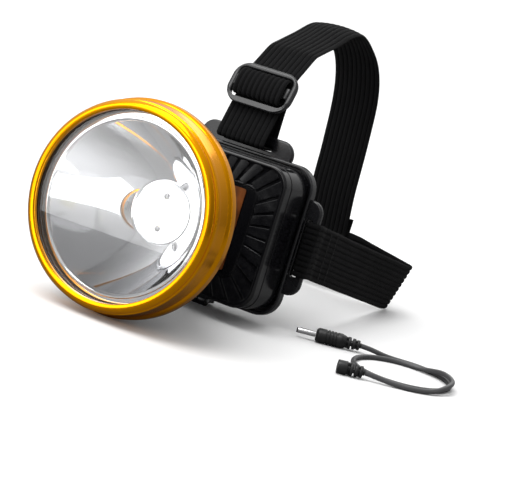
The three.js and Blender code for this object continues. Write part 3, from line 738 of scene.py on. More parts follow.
# ------------------------------------------------------------------ operators
class CAPLAMP_OT_camera(bpy.types.Operator):
    """Adds the camera that looks at the lamp from the front right"""

    bl_idname = "caplamp.camera"
    bl_label = "Camera"
    bl_options = {"REGISTER", "UNDO"}

    def execute(self, context):
        data = bpy.data.cameras.new("Camera")
        data.lens = CAMERA["lens"]
        data.sensor_width = CAMERA["sensor"]
        camera = bpy.data.objects.new("Camera", data)
        azimuth, elevation, roll = (radians(CAMERA[name]) for name in ("azimuth", "elevation", "roll"))
        turn = Matrix.Rotation(azimuth, 4, "Z") @ Matrix.Rotation(pi / 2 - elevation, 4, "X")
        place = Matrix.Translation(CAMERA_PLACE)
        camera.matrix_world = place @ turn @ Matrix.Rotation(roll, 4, "Z")
        bpy.context.collection.objects.link(camera)
        bpy.context.scene.camera = camera
        return {"FINISHED"}


def cord_route():
    """The lead's route, drawn flat: the plug's tail, a turn and a half crossing once, the socket's tail."""
    radius, loop, spread = 1.1, CORD["loop"], CORD["spread"]
    rest = radius + 0.05
    points = [(-17, PLUG_ROW, 3.3), (-13, PLUG_ROW, 3.1), (-7, PLUG_ROW, rest + 0.4)]
    steps = 38
    for i in range(steps + 1):
        turn = i / steps * CORD["turns"]
        side = 1 - 2 * smoothstep(turn, 0.14, 0.36) + 2 * smoothstep(turn - 1, 0.14, 0.36)
        over = sin(pi * clamp((turn - 1.06) / 0.38)) ** 2 if turn > 1 else 0
        reach = loop + spread * side
        height = rest + CORD["hump"] * min(1, over * 1.6)
        points.append((sin(turn * TURN) * reach, cos(turn * TURN) * reach, height))
    return points + [(-7, -PLUG_ROW, rest + 0.4), (-13, -PLUG_ROW, 2.8), (-17, -PLUG_ROW, 3)]


def lying(profile, x, y, z, steps=SMALL):
    """A turned piece lying along X on the ground, its front towards -X."""
    return moved(turned(profile, steps), Matrix.Translation((x, y, z)) @ ALONG_X)


def relief(start, count, pitch, radius, taper):
    """Strain relief along X: a core, rings, and webs that alternate round it."""
    end = start + count * pitch
    core = [(0, start - 1), (radius - 1.4, start - 1), (radius - 1.6, end), (0, end)]
    bm = turned([Vector(p) for p in core], SMALL)
    for i in range(count):
        x = start + i * pitch
        size = radius - taper * i
        far = x + RING_SHARE * pitch
        ring = [(0, x, 0), (size, x, 0.25), (size, far, 0.25), (0, far, 0)]
        absorb(bm, turned(rounded(ring, 3, closed=False), SMALL))
        for k in (0, 1):
            angle = pi * k + (pi / 2 if i % 2 else 0)
            web = block((-0.9, x - 0.5 * pitch, 0.6), (0.9, x + 0.1, size - 0.35), 0.15)
            absorb(bm, moved(web, Matrix.Rotation(angle, 4, "Y")))
    return bm


class CAPLAMP_OT_charging_lead(bpy.types.Operator):
    """Adds the charging lead with its plug and socket"""

    bl_idname = "caplamp.charging_lead"
    bl_label = "Charging Lead"
    bl_options = {"REGISTER", "UNDO"}

    def execute(self, context):
        sizes = context.scene.cap_lamp_sizes
        colours = context.scene.cap_lamp_colours
        rubber = moulded(
            "Lead Rubber", (0.006, 0.006, 0.0065), 0.36, grain=1400.0, strength=0.1, wear=0.1, dust=0.03
        )
        sleeve = moulded("Cord Sleeve", colours.cord, 0.34, grain=700.0, strength=0.04, wear=0.0, dust=0.02)
        steel = metal("Bright Steel", (0.78, 0.78, 0.79), 0.12, strength=0.02)
        curve = bpy.data.curves.new("charging_cord", "CURVE")
        curve.dimensions = "3D"
        spline = curve.splines.new("NURBS")
        route = [LEAD @ Vector(point) for point in cord_route()]
        spline.points.add(len(route) - 1)
        for point, place in zip(spline.points, route):
            point.co = (*place, 1)
        spline.order_u = 4
        spline.use_endpoint_u = True
        spline.resolution_u = 6
        spline.use_smooth = True
        curve.bevel_depth = sizes.cord_diameter / 2
        curve.bevel_resolution = 5
        curve.use_fill_caps = True
        curve.materials.append(sleeve)
        cord = bpy.data.objects.new("charging_cord", curve)
        bpy.context.collection.objects.link(cord)
        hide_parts("lead_cord")
        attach(cord, "strap_set")
        plug, barrel, insulator = self.plug(rubber, steel)
        socket = self.socket(rubber)
        return {"FINISHED"}

    def plug(self, rubber, steel):
        front, tip = -37.9, -46.4
        nose = [(0, 0, 0), (2.5, 0, 0.4), (3.25, 0.9, 0.6), (3.3, 3.8, 0.2)]
        rings = []
        for i in range(4):
            x = 4.4 + i * 1.5
            rings += [(3.3, x, 0.1), (3.0, x + 0.15, 0.08), (3.0, x + 0.6, 0.08), (3.3, x + 0.75, 0.1)]
        tail = [(3.3, 11.4, 0.5), (2.7, 13.6, 0.5), (0, 13.9, 0)]
        shell = turned(rounded(nose + rings + tail, 3, closed=False), SMALL)
        absorb(shell, relief(14.6, 3, 2.05, 2.75, 0.25))
        moved(shell, Matrix.Translation((front, PLUG_ROW, 3.3)) @ ALONG_X)
        plug = link_piece(shell, "plug_grip", "strap_set", rubber, ["plug_body"], LEAD)
        pipe = rounded(
            [(0.75, 0, 0.1), (1.25, 0, 0.2), (1.25, 8.2, 0), (0, 8.2, 0), (0, 6, 0), (0.75, 6, 0)], 3,
            closed=False
        )
        steel_pipe = lying(pipe[:-1] + [Vector((0.75, 6))], tip, PLUG_ROW, 3.3)
        barrel = link_piece(steel_pipe, "plug_sleeve", "strap_set", steel, ["plug_barrel"], LEAD)
        ring = rounded(
            [(0.45, -0.35, 0.08), (1.2, -0.35, 0.2), (1.2, 0, 0), (0.72, 0, 0), (0.72, 2, 0), (0.45, 2, 0)],
            3
        )
        collar_bm = lying(ring, tip - 0.02, PLUG_ROW, 3.3)
        tip_ring = link_piece(
            collar_bm, "plug_tip_ring", "strap_set", rubber, ["plug_insulator"], LEAD
        )
        return plug, barrel, tip_ring

    def socket(self, rubber):
        mouth = [(0, 3.4, 0), (1.45, 3.4, 0), (1.45, 0, 0.15), (2.9, 0, 0.4), (3.0, 4.3, 0.35), (0, 4.6, 0)]
        shell = turned(rounded(mouth, 3, closed=False), SMALL)
        absorb(shell, relief(5.5, 3, 2.1, 2.95, 0.2))
        moved(shell, Matrix.Translation((-29.1, -PLUG_ROW, 3.0)) @ ALONG_X)
        return link_piece(shell, "lead_jack", "strap_set", rubber, ["lead_socket"], LEAD)


class CAPLAMP_OT_bezel(bpy.types.Operator):
    """Adds the gold front ring"""

    bl_idname = "caplamp.bezel"
    bl_label = "Bezel"
    bl_options = {"REGISTER", "UNDO"}

    def execute(self, context):
        sizes = context.scene.cap_lamp_sizes
        colours = context.scene.cap_lamp_colours
        gold = metal("Gold", colours.gold, 0.2, grain=500.0, strength=0.015, spread=0.03, wear=0.0)
        r, inner = sizes.bezel_radius / MM, BEZEL["inner"]
        end, bore = BEZEL["length"], BEZEL["bore"]
        corners = [
            (inner, 2.4, 0.1), (inner, 0.1, 0.7), (r - 3.9, -0.15, 1.9), (r - 2.3, 1.6, 0.8), (
                r - 2.6, 2.9, 0.25
            ),
            (r - 1.75, 3.3, 0.6), (r - 1.55, 5.4, 0.6), (r - 1.95, 6.1, 0.2), (r - 1.2, 11.2, 0.3),
            (r - 0.75, 11.6, 0.3), (r, 12.6, 0.9), (r, 16.2, 0.8), (r - 0.9, end, 0.5), (bore, end, 0.15),
            (bore, 2.4, 0.1),
        ]
        link_piece(turned(rounded(corners, 6)), "front_ring", "lamp", gold, ["bezel_ring"])
        return {"FINISHED"}


class CAPLAMP_OT_lens(bpy.types.Operator):
    """Adds the clear lens behind the ring's lip"""

    bl_idname = "caplamp.lens"
    bl_label = "Lens"
    bl_options = {"REGISTER", "UNDO"}

    def execute(self, context):
        profile = [Vector(point) for point in ((0, 2.7), (41.8, 2.7), (42, 2.9), (42, 4.4), (0, 4.4))]
        link_piece(turned(profile), "clear_lens", "lamp", clear_lens(), ["lens"], sharp=10)
        return {"FINISHED"}


class CAPLAMP_OT_reflector(bpy.types.Operator):
    """Adds the chromed bowl with its flange"""

    bl_idname = "caplamp.reflector"
    bl_label = "Reflector"
    bl_options = {"REGISTER", "UNDO"}

    def execute(self, context):
        chrome = metal("Mirror Chrome", (0.9, 0.905, 0.92), 0.045, strength=0.004, grain=260.0, spread=0.015)
        mouth, throat, front = BOWL["mouth"], BOWL["throat"], BOWL["front"]
        depth, wall = BOWL["depth"], BOWL["wall"]
        steps = 36
        bowl = []
        for i in range(steps + 1):
            y = front + 0.3 + (depth - 0.3) * i / steps
            bowl.append(Vector((sqrt(throat**2 + (mouth**2 - throat**2) * (front + depth - y) / depth), y)))
        outside = [Vector((p.x + wall, p.y)) for p in reversed(bowl[1:])]
        flange = [
            (mouth + wall, front + wall, 0), (41.9, front + wall, 0.1), (41.9, front, 0.1),
            (mouth + 1.5, front, 0.1), (mouth + 1.2, front - 0.35, 0.15), (mouth + 0.5, front - 0.35, 0.25),
        ]
        deep = front + depth
        bead = [
            (throat, deep, 0), (throat - 0.15, deep + 0.4, 0.1), (throat - 0.5, deep - 0.3, 0.2),
            (throat - 1.0, deep - 0.3, 0.2), (throat - 1.3, deep + 0.3, 0.1), (throat - 1.3, deep + 0.8, 0.1),
            (throat + wall, deep + 0.8, 0.1), (throat + wall, deep, 0),
        ]
        profile = bowl + rounded(bead, 4, closed=False)[1:-1] + outside + rounded(flange, 4, closed=False)
        link_piece(turned(profile, 192), "reflector_bowl", "lamp", chrome, ["reflector"])
        return {"FINISHED"}


def pan_screw(x, z, top, radius, shank, end, rise=0.6):
    """A screw along +Y: a domed head at top with a cross recess, and its shank."""
    head = [
        (0, top, 0), (radius * 0.7, top, 0.5), (radius, top + rise, 0.12), (radius, top + rise + 0.3, 0.1)
    ]
    rest = [(shank, top + rise + 0.3, 0), (shank, end - 0.5, 0), (0, end, 0)]
    bm = turned(rounded(head + rest, 3, closed=False), 32)
    arms = [
        block((-radius * 0.55, top - 1, -0.18), (radius * 0.55, top + 0.55, 0.18), 0.02, 1),
        block((-0.18, top - 1, -radius * 0.55), (0.18, top + 0.55, radius * 0.55), 0.02, 1),
    ]
    for arm in arms:
        bm = cut_away(bm, arm)
    return moved(bm, Matrix.Translation((x, 0, z)))


class CAPLAMP_OT_light_source(bpy.types.Operator):
    """Adds the LED board, its chip and its two screws"""

    bl_idname = "caplamp.light_source"
    bl_label = "Light Source"
    bl_options = {"REGISTER", "UNDO"}

    def execute(self, context):
        # The board is given emission, a painted glow: the board itself is no lamp.
        white = glowing("Board Painted Glow", (0.9, 0.9, 0.9), (1.0, 1.0, 1.0), 1.6)
        glow = glowing("Lit Phosphor", (0.9, 0.8, 0.3), (1.0, 0.94, 0.55), 1.3, 0.25)
        steel = metal("Screw Steel", (0.4, 0.4, 0.41), 0.35, wear=0.1)
        front, radius, back = BOARD["front"], BOARD["radius"], BOARD["front"] + BOARD["thick"]
        disc = turned(rounded(
            [(0, front, 0), (radius, front, 0.15), (radius, back, 0.15), (0, back, 0)], 3, closed=False
        ))
        holes = [moved(bar(1.2, front - 1, back + 1, 0, 0), Matrix.Rotation(pi / 2, 4, "Z")) for _ in (0, 1)]
        for side, hole in zip((1, -1), holes):
            moved(hole, Matrix.Translation((0, 0, side * BOARD["screw"])))
        disc = cut_away(disc, *holes)
        link_piece(disc, "light_board", "lamp", white, ["led_board"])
        chip = slab(2.6, 2.6, 0.5, front - 0.9, front - 0.28, 0.12)
        dome = rounded(
            [(0, front - 1.9, 0), (2.1, front - 1.9, 1.2), (2.1, front - 0.85, 0), (0, front - 0.85, 0)], 8,
            closed=False
        )
        absorb(chip, turned(dome, 48))
        link_piece(chip, "light_chip", "lamp", glow, ["led_chip"])
        for side, node in ((1, "led_screw_upper"), (-1, "led_screw_lower")):
            screw = pan_screw(0, side * BOARD["screw"], front - 1.25, 1.5, 0.8, front + 5)
            link_piece(screw, "board_" + node[4:], "lamp", steel, [node])
        return {"FINISHED"}


class CAPLAMP_OT_head_shell(bpy.types.Operator):
    """Adds the black cone and neck behind the reflector"""

    bl_idname = "caplamp.head_shell"
    bl_label = "Head Shell"
    bl_options = {"REGISTER", "UNDO"}

    def execute(self, context):
        colours = context.scene.cap_lamp_colours
        gloss = gloss_plastic(colours)
        corners = [
            (42.1, 7.6, 0.1), (42.1, 17.3, 0.05), (44.7, 17.3, 0.3), (44.7, 18.9, 0.6), (43.2, 20.6, 1.5),
            (19.6, 45.4, 3), (18.9, 48.8, 1), (16, 51.2, 1.2), (13.5, 53.6, 1.5), (13.5, 73.3, 0.3), (
                8, 73.3, 0
            ),
            (8, 77.4, 0.2), (6, 77.4, 0.2), (6, 46.6, 0), (16.7, 46.6, 0), (16.7, 44.4, 0.5), (
                40.2, 20.6, 1.5
            ),
            (40.2, 7.6, 0.1),
        ]
        link_piece(
            turned(rounded(corners, 5), 128), "head_cone", "lamp", gloss, ["head_shell"]
        )
        return {"FINISHED"}


def gloss_plastic(colours):
    if "Gloss Plastic" not in MATERIALS:
        moulded(
            "Gloss Plastic", colours.plastic, 0.16, grain=420.0, strength=0.03, wear=0.2, dust=0.015,
            spread=0.03, Specular_IOR_Level=0.4,
        )
    return MATERIALS["Gloss Plastic"]


def satin_plastic(colours):
    if "Satin Plastic" not in MATERIALS:
        moulded("Satin Plastic", colours.satin, 0.27, grain=1100.0, strength=0.1, wear=0.3, dust=0.02)
    return MATERIALS["Satin Plastic"]


def edge_distance(way, half_w, half_h, corner):
    """How far a ray from the middle goes before it meets a rounded rectangle."""
    low, high = 0.0, half_w + half_h
    for _ in range(40):
        at = (low + high) / 2
        x, z = abs(way[0] * at) - half_w + corner, abs(way[1] * at) - half_h + corner
        outside = hypot(max(x, 0), max(z, 0)) + min(max(x, z), 0) - corner
        low, high = (low, at) if outside > 0 else (at, high)
    return low


class CAPLAMP_OT_front_cover(bpy.types.Operator):
    """Adds the case's front cover with its ribbed border"""

    bl_idname = "caplamp.front_cover"
    bl_label = "Front Cover"
    bl_options = {"REGISTER", "UNDO"}

    def execute(self, context):
        sizes = context.scene.cap_lamp_sizes
        colours = context.scene.cap_lamp_colours
        half_w, half_h, corner = CASE["half_w"] - 0.2, CASE["half_h"] - 0.2, CASE["corner"] - 0.2
        front, panel = CASE["front"], PANEL_FRONT
        profile = rounded(
            [
                (15, panel, 0), (12.25, panel, 0.12), (12.2, 72.75, 0.22), (11.6, 72.75, 0.22), (
                    11.45, 73.35, 0.15
                ),
                (1.95, 72.15, 0.35), (1.75, front, 0.3), (0, front, 1.1), (0, 77.1, 0.15), (1.8, 77.1, 0.1),
                (1.8, 75.2, 0.6), (15, 75.2, 0),
            ],
            5, closed=False,
        )
        sections = inset(profile, half_w, half_h, corner, wide=1.1, keep=0.35)
        hole = 8.3
        sections = [(hole, hole, hole, panel, (0, 0))] + sections + [(hole, hole, hole, 75.2, (0, 0))]
        shell = lofted(sections)
        inner = inset([(11.5, 0)], half_w, half_h, corner, wide=1.1, keep=0.35)[0]
        outer = inset([(1.7, 0)], half_w, half_h, corner, wide=1.1, keep=0.35)[0]
        for i in range(sizes.border_ribs):
            angle = (i + 0.5) * TURN / sizes.border_ribs
            way = (sin(angle), cos(angle))
            near, far = (edge_distance(way, *size[:3]) for size in (inner, outer))
            rib = self.rib(Vector((near, 73.0)), Vector((far, 71.7)), 0.41 * TURN / sizes.border_ribs)
            absorb(shell, moved(rib, Matrix.Rotation(angle - pi / 2, 4, "Y")))
        for x, z in SCREW_PLACES:
            post = rounded([(1.2, 76, 0), (1.75, 76, 0), (1.75, 93.5, 0.2), (1.2, 93.5, 0.1)], 2)
            absorb(shell, moved(turned(post, 24), Matrix.Translation((x, 0, z))))
        link_piece(
            shell, "case_front", "lamp", gloss_plastic(colours), ["front_cover"],
            weighted=True
        )
        return {"FINISHED"}

    def rib(self, start, end, spread):
        """One slat along +X, its top running from start to end in (x, y), widening as it goes out."""
        bm = block((start.x, 0, -1), (end.x + 0.1, 1.5, 1), 0.16, 2)
        slope = (end.y - start.y) / (end.x - start.x)
        for vert in bm.verts:
            vert.co.z *= vert.co.x * spread
            vert.co.y += start.y + slope * (vert.co.x - start.x) + SLAT_TILT * vert.co.z
        return bm


class CAPLAMP_OT_battery_case(bpy.types.Operator):
    """Adds the case's rear half with its hinge lug and openings"""

    bl_idname = "caplamp.battery_case"
    bl_label = "Battery Case"
    bl_options = {"REGISTER", "UNDO"}

    def execute(self, context):
        colours = context.scene.cap_lamp_colours
        half_w, half_h, corner = CASE["half_w"], CASE["half_h"], CASE["corner"]
        split, back = CASE["split"], CASE["back"]
        profile = rounded(
            [
                (14, 94.0, 0), (1.6, 94.0, 0.8), (1.6, split, 0.1), (0, split, 0.15), (0, back, 1.4),
                (14, back, 0)
            ],
            4, closed=False,
        )
        shell = lofted(inset(profile, half_w, half_h, corner, keep=0.6), closed=False)
        cutters = []
        for radius, z in ((3.2, SIDE["switch"]), (2.2, SIDE["jack"])):
            cutters.append(bar(radius, -half_w - 2, -half_w + 3, SIDE["y"], z, edge=0))
        pocket_line = ((0, 91), (1.2, 91), (1.2, 94.5), (2.2, 94.5), (2.2, 98), (0, 98))
        for x, z in SCREW_PLACES:
            pocket = turned([Vector(point) for point in pocket_line], 32)
            cutters.append(moved(pocket, Matrix.Translation((x, 0, z))))
        shell = cut_away(shell, *cutters)
        lug = collar(1.5, 2.6, -3, 3, HINGE.y, HINGE.z)
        web = block((-3, HINGE.y - 2.4, HINGE.z + 1.7), (3, HINGE.y + 2.4, -half_h + 0.8), 0.3)
        absorb(shell, lug, web)
        link_piece(
            shell, "case_back", "lamp", gloss_plastic(colours), ["battery_case"],
            weighted=True
        )
        return {"FINISHED"}


class CAPLAMP_OT_case_screws(bpy.types.Operator):
    """Adds the four screws that close the case"""

    bl_idname = "caplamp.case_screws"
    bl_label = "Case Screws"
    bl_options = {"REGISTER", "UNDO"}

    def execute(self, context):
        steel = MATERIALS["Screw Steel"]
        for number, (x, z) in enumerate(SCREW_PLACES, 1):
            screw = pan_screw(0, 0, 0, 1.9, 0.9, 13.3, rise=0.35)
            facing = Matrix.Translation((x, CASE["back"] - 0.1, z)) @ Matrix.Rotation(pi, 4, "Z")
            node = f"case_screw_{number}"
            link_piece(moved(screw, facing), f"closing_screw_{number}", "lamp", steel, [node])
        return {"FINISHED"}


class CAPLAMP_OT_strap_plate(bpy.types.Operator):
    """Adds the slotted strap plate behind the case"""

    bl_idname = "caplamp.strap_plate"
    bl_label = "Strap Plate"
    bl_options = {"REGISTER", "UNDO"}

    def execute(self, context):
        colours = context.scene.cap_lamp_colours
        rim, front, back = PLATE["rim"], PLATE["front"], PLATE["back"]
        profile = rounded(
            [
                (14, front, 0), (1.5, front, 0.4), (1.4, rim, 0.35), (0, rim, 0.6), (0, back, 0.9),
                (14, back, 0)
            ],
            4, closed=False,
        )
        plate = lofted(inset(profile, PLATE["half_w"], PLATE["half_h"], PLATE["corner"]), closed=False)
        ears = [
            ((24, 6.5, 6.4, (0, 36.5)), (13.2, 1.15, 0.9, (0, 37.65))),
            ((6, 22, 5.9, (40, 0)), (1.5, 13.2, 0.9, (41.3, 0))),
            ((6, 22, 5.9, (-40, 0)), (1.5, 13.2, 0.9, (-41.3, 0))),
        ]
        for outer, window in ears:
            absorb(plate, windowed(outer, window, front + 0.02, back - 0.02, 0.95, 0.5))
        for side in (1, -1):
            start, end = sorted((side * 3.3, side * 7))
            absorb(plate, collar(1.5, 2.6, start, end, HINGE.y, HINGE.z))
            absorb(
                plate,
                block((start, HINGE.y + 1.6, HINGE.z - 1.2), (end, back, -PLATE["half_h"] + 0.8), 0.3)
            )
        satin = satin_plastic(colours)
        link_piece(plate, "rear_plate", "strap_set", satin, ["strap_plate"], weighted=True)
        return {"FINISHED"}


class CAPLAMP_OT_hinge_pin(bpy.types.Operator):
    """Adds the tilt hinge's pin"""

    bl_idname = "caplamp.hinge_pin"
    bl_label = "Hinge Pin"
    bl_options = {"REGISTER", "UNDO"}

    def execute(self, context):
        pin = bar(1.2, -7.6, 7.6, HINGE.y, HINGE.z, edge=0.3)
        link_piece(pin, "tilt_pin", "strap_set", MATERIALS["Screw Steel"], ["hinge_pin"])
        return {"FINISHED"}


class CAPLAMP_OT_switch_and_jack(bpy.types.Operator):
    """Adds the push button, the switch body and the charging jack"""

    bl_idname = "caplamp.switch_and_jack"
    bl_label = "Switch and Jack"
    bl_options = {"REGISTER", "UNDO"}

    def execute(self, context):
        colours = context.scene.cap_lamp_colours
        rubber = MATERIALS["Lead Rubber"]
        outer, inner = -CASE["half_w"] - 2, -CASE["half_w"] + 1.9
        button = rounded(
            [(0, outer, 0), (2.0, outer, 0.8), (2.8, outer + 0.9, 0.8), (2.8, inner, 0), (3.7, inner, 0.15),
             (3.7, inner + 0.8, 0.15), (0, inner + 0.8, 0)], 5, closed=False,
        )
        place = Matrix.Translation((0, SIDE["y"], SIDE["switch"])) @ ALONG_X
        ring = rounded([
            (1.3, outer - 0.12, 0.1), (1.7, outer - 0.12, 0.1), (1.7, outer + 0.3, 0), (1.3, outer + 0.3, 0)
        ], 2)
        shape = absorb(turned(button, SMALL), turned(ring, SMALL))
        link_piece(moved(shape, place), "push_button", "switch", rubber, ["switch_button"])
        satin = satin_plastic(colours)
        body = block((-33.2, SIDE["y"] - 3.5, 1.4), (-24.4, SIDE["y"] + 3.5, 8.4), 0.3)
        link_piece(body, "switch_box", "lamp", satin, ["switch_body"], weighted=True)
        jack = block(
            (inner, SIDE["y"] - 3.2, SIDE["jack"] - 3.2), (inner + 11, SIDE["y"] + 3.2, SIDE["jack"] + 3.2),
            0.25
        )
        jack = cut_away(jack, bar(1.6, inner - 1, inner + 9, SIDE["y"], SIDE["jack"], edge=0))
        link_piece(jack, "jack_box", "lamp", satin, ["charge_jack"], weighted=True)
        return {"FINISHED"}


class CAPLAMP_OT_forehead_pad(bpy.types.Operator):
    """Adds the foam pad behind the strap plate"""

    bl_idname = "caplamp.forehead_pad"
    bl_label = "Forehead Pad"
    bl_options = {"REGISTER", "UNDO"}

    def execute(self, context):
        sizes = context.scene.cap_lamp_sizes
        half_w, half_h, corner = PAD["half_w"], PAD["half_h"], PAD["corner"]
        low, high = PLATE["back"] + PAD["low"], PLATE["back"] + PAD["high"]
        swell = sizes.pad_crown / MM
        bm = bmesh.new()
        bmesh.ops.create_cube(bm, size=2)
        bmesh.ops.subdivide_edges(bm, edges=list(bm.edges), cuts=23, use_grid_fill=True)
        for vert in bm.verts:
            x, y, z = vert.co
            px, pz = x * half_w, z * half_h
            over_x, over_z = abs(px) - half_w + corner, abs(pz) - half_h + corner
            if over_x > 0 and over_z > 0:
                pull = corner / max(corner, hypot(over_x, over_z))
                px = (half_w - corner + over_x * pull) * (1 if x > 0 else -1)
                pz = (half_h - corner + over_z * pull) * (1 if z > 0 else -1)
            edge = max(abs(x), abs(z))
            round_off = 1.7 * edge**14
            dimple = 0.25 * noise.noise(Vector((px / 9, pz / 9, y)))
            if y > 0:
                py = high + swell * (1 - edge**2) - round_off + dimple * (1 - edge**4)
            else:
                py = low + 0.9 * edge**14
            if abs(y) < 0.999:
                py = low + 0.9 + (high - 1.7 - low - 0.9) * (y + 1) / 2
            vert.co = (px, py, pz)
        bmesh.ops.recalc_face_normals(bm, faces=bm.faces)
        pad = link_piece(
            bm, "brow_pad", "strap_set", foam_material((0.012, 0.012, 0.013)), ["forehead_pad"],
            sharp=80
        )
        return {"FINISHED"}


def head_line():
    """The head strap from above: a sewn end, round the slot's bar, back to the fold, and the same again."""
    bar_in, bar_out, bar_front = 41.3, 47.05, 94.95

    def half(end):
        return [
            (43.3, end, 0), (43.3, 106, 8), (bar_in, 100.5, 3), (bar_in, bar_front, 0.9), (
                bar_out, bar_front, 0.9
            ),
            (bar_out, 100, 4), (HEAD["side"], 107, 8), (HEAD["side"], HEAD["fold"], 1.5), (
                HEAD["flat"], HEAD["rear"], 20
            ),
        ]

    left = [(-x, y, r) for x, y, r in reversed(half(132))]
    return spaced(rounded(half(124) + left, 7, closed=False), LINE_STEP)


def head_place(x, y, z):
    """The fold rests on the ground while the rear run is lifted by the crown strap."""
    back = clamp((y - PLATE["back"]) / (HEAD["rear"] - PLATE["back"]))
    centre = clamp((HEAD["side"] - abs(x)) / (HEAD["side"] - HEAD["flat"]))
    rear = smoothstep(y, HEAD["rear"] - 4, HEAD["rear"] + 1) * centre
    lean = HEAD["lean"] * smoothstep(y, 150, HEAD["fold"]) * (1 - rear)
    return Vector((x + (1 if x > 0 else -1) * lean * z, y, z - HEAD["drop"] * back + HEAD["lift"] * rear))


class CAPLAMP_OT_head_strap(bpy.types.Operator):
    """Adds the woven strap that goes round the head"""

    bl_idname = "caplamp.head_strap"
    bl_label = "Head Strap"
    bl_options = {"REGISTER", "UNDO"}

    def execute(self, context):
        strap, run = webbing(
            "head_webbing", head_line(), head_place, "strap_set", ["head_strap"], wander=0.35, seed=3.0
        )
        thread = moulded("Thread", (0.02, 0.02, 0.021), 0.7, grain=3000.0, strength=0.3, wear=0, dust=0)
        rows = bmesh.new()
        for y in (113.5, 121.5):
            path = [head_place(46.1, y, z) for z in (-11, -5.5, 0, 5.5, 11)]
            absorb(rows, stitches(path, Vector((1, 0, 0))))
        seam = link_piece(rows, "head_strap_seam", "strap_set", thread)
        return {"FINISHED"}


def crown_line():
    """The crown strap in side view: sewn end, down, through the slot, over the crown, sewn loop."""
    low = HEAD["lift"] - HEAD["drop"] - 12.5 - 1.1
    inside, outside = HEAD["rear"] - 1.8, HEAD["rear"] + 1.8
    back_y, low_z = PLATE["back"] + 1.15, 37.4
    corners = [
        (back_y, 60, 0), (back_y, low_z, 1), (88.7, low_z, 1), (*CROWN["low"], 1), (*CROWN["high"], 14),
        (115, 83, 14), (142, 95, 30), (156, 103.5, 20), (190, 89, 24), (202, 67, 30), (207, 22, 30),
        (inside, 4, 20), (inside, low, 0.9), (outside, low, 0.9), (outside, 12, 0),
    ]
    line = spaced(rounded(corners, 7, closed=False), LINE_STEP)
    arch = [i for i, point in enumerate(line[:-1]) if 128 < point.x < 212 and point.y > 12]
    for _ in range(ARCH_EASING):
        eased = {i: (line[i - 1] + 2 * line[i] + line[i + 1]) / 4 for i in arch}
        for i, point in eased.items():
            line[i] = point
    return line


def crown_place(y, z, x):
    """The strap bows across its width where it goes over the crown."""
    bow = CROWN_BOW * smoothstep(z, 78, 98) * (1 - (x / 12.5) ** 2)
    return Vector((x, y, z + bow))


class CAPLAMP_OT_crown_strap(bpy.types.Operator):
    """Adds the woven strap that goes over the crown"""

    bl_idname = "caplamp.crown_strap"
    bl_label = "Crown Strap"
    bl_options = {"REGISTER", "UNDO"}

    def execute(self, context):
        line = crown_line()
        strap, run = webbing(
            "crown_webbing", line, crown_place, "strap_set", ["crown_strap"], wander=0.35, seed=9.0
        )
        rows = bmesh.new()
        for z in (3.0, 9.5):
            path = [Vector((x, HEAD["rear"] + 2.65, z)) for x in (-11, -5.5, 0, 5.5, 11)]
            absorb(rows, stitches(path, Vector((0, 1, 0))))
        seam = link_piece(rows, "crown_strap_seam", "strap_set", MATERIALS["Thread"])
        return {"FINISHED"}


class CAPLAMP_OT_sliders(bpy.types.Operator):
    """Adds the two sliders with the webbing wound on their bars"""

    bl_idname = "caplamp.sliders"
    bl_label = "Sliders"
    bl_options = {"REGISTER", "UNDO"}

    def execute(self, context):
        colours = context.scene.cap_lamp_colours
        nylon = moulded(
            "Slider Nylon", colours.slider, 0.24, grain=1300.0, strength=0.12, wear=0.35, dust=0.02,
            spread=0.06,
        )
        rise = Vector(
            (0, CROWN["high"][0] - CROWN["low"][0], CROWN["high"][1] - CROWN["low"][1])
        ).normalized()
        crown_mid = Vector((0, *CROWN["high"])) - rise * 9.5
        self.slider("crown", Vector((1, 0, 0)), rise, crown_mid, nylon)
        slope = atan2(HEAD["drop"], HEAD["rear"] - PLATE["back"])
        along = Vector((0, cos(slope), -sin(slope)))
        side_mid = Vector((-HEAD["side"], 128, -(128 - PLATE["back"]) * tan(slope)))
        self.slider("side", along.cross(Vector((-1, 0, 0))), along, side_mid, nylon)
        return {"FINISHED"}

    def slider(self, name, across, along, centre, nylon):
        outward = across.cross(along)
        place = Matrix.Translation(centre) @ Matrix((across, -outward, along)).transposed().to_4x4()
        outer = (SLIDER["half_w"], SLIDER["half_h"], SLIDER["corner"], (0, 0))
        body = windowed(outer, SLIDER_WINDOW, -4.3, -1.3, 1.2, 0.9, steps=12)
        for vert in body.verts:
            if vert.co.z < SLIDER["lower_bar"]:
                vert.co.z -= SLIDER["bow"] * cos(vert.co.x / SLIDER["half_w"] * pi / 2)
                vert.co.y = max(vert.co.y, SLIDER["flat"])
        absorb(body, block((-14, -4.8, -2.7), (14, -3.2, 2.7), 0.6, 3))
        moved(body, place)
        link_piece(
            body, name + "_slider_buckle", name + "_slider", nylon, [name + "_slider_frame"]
        )
        steps = 44
        long, high, middle_line = WOUND["long"], WOUND["high"], WOUND["middle"]
        angles = [TURN * i / steps for i in range(steps + 1)]
        ring = [Vector((long * cos(angle), middle_line + high * sin(angle))) for angle in angles]

        def round_bar(s, n, w):
            return place @ Vector((w, -n, s))

        webbing(
            name + "_slider_turn", ring, round_bar, name + "_slider", [name + "_slider_webbing"], closed=True,
            width=WOUND["width"], seed=5.0,
        )


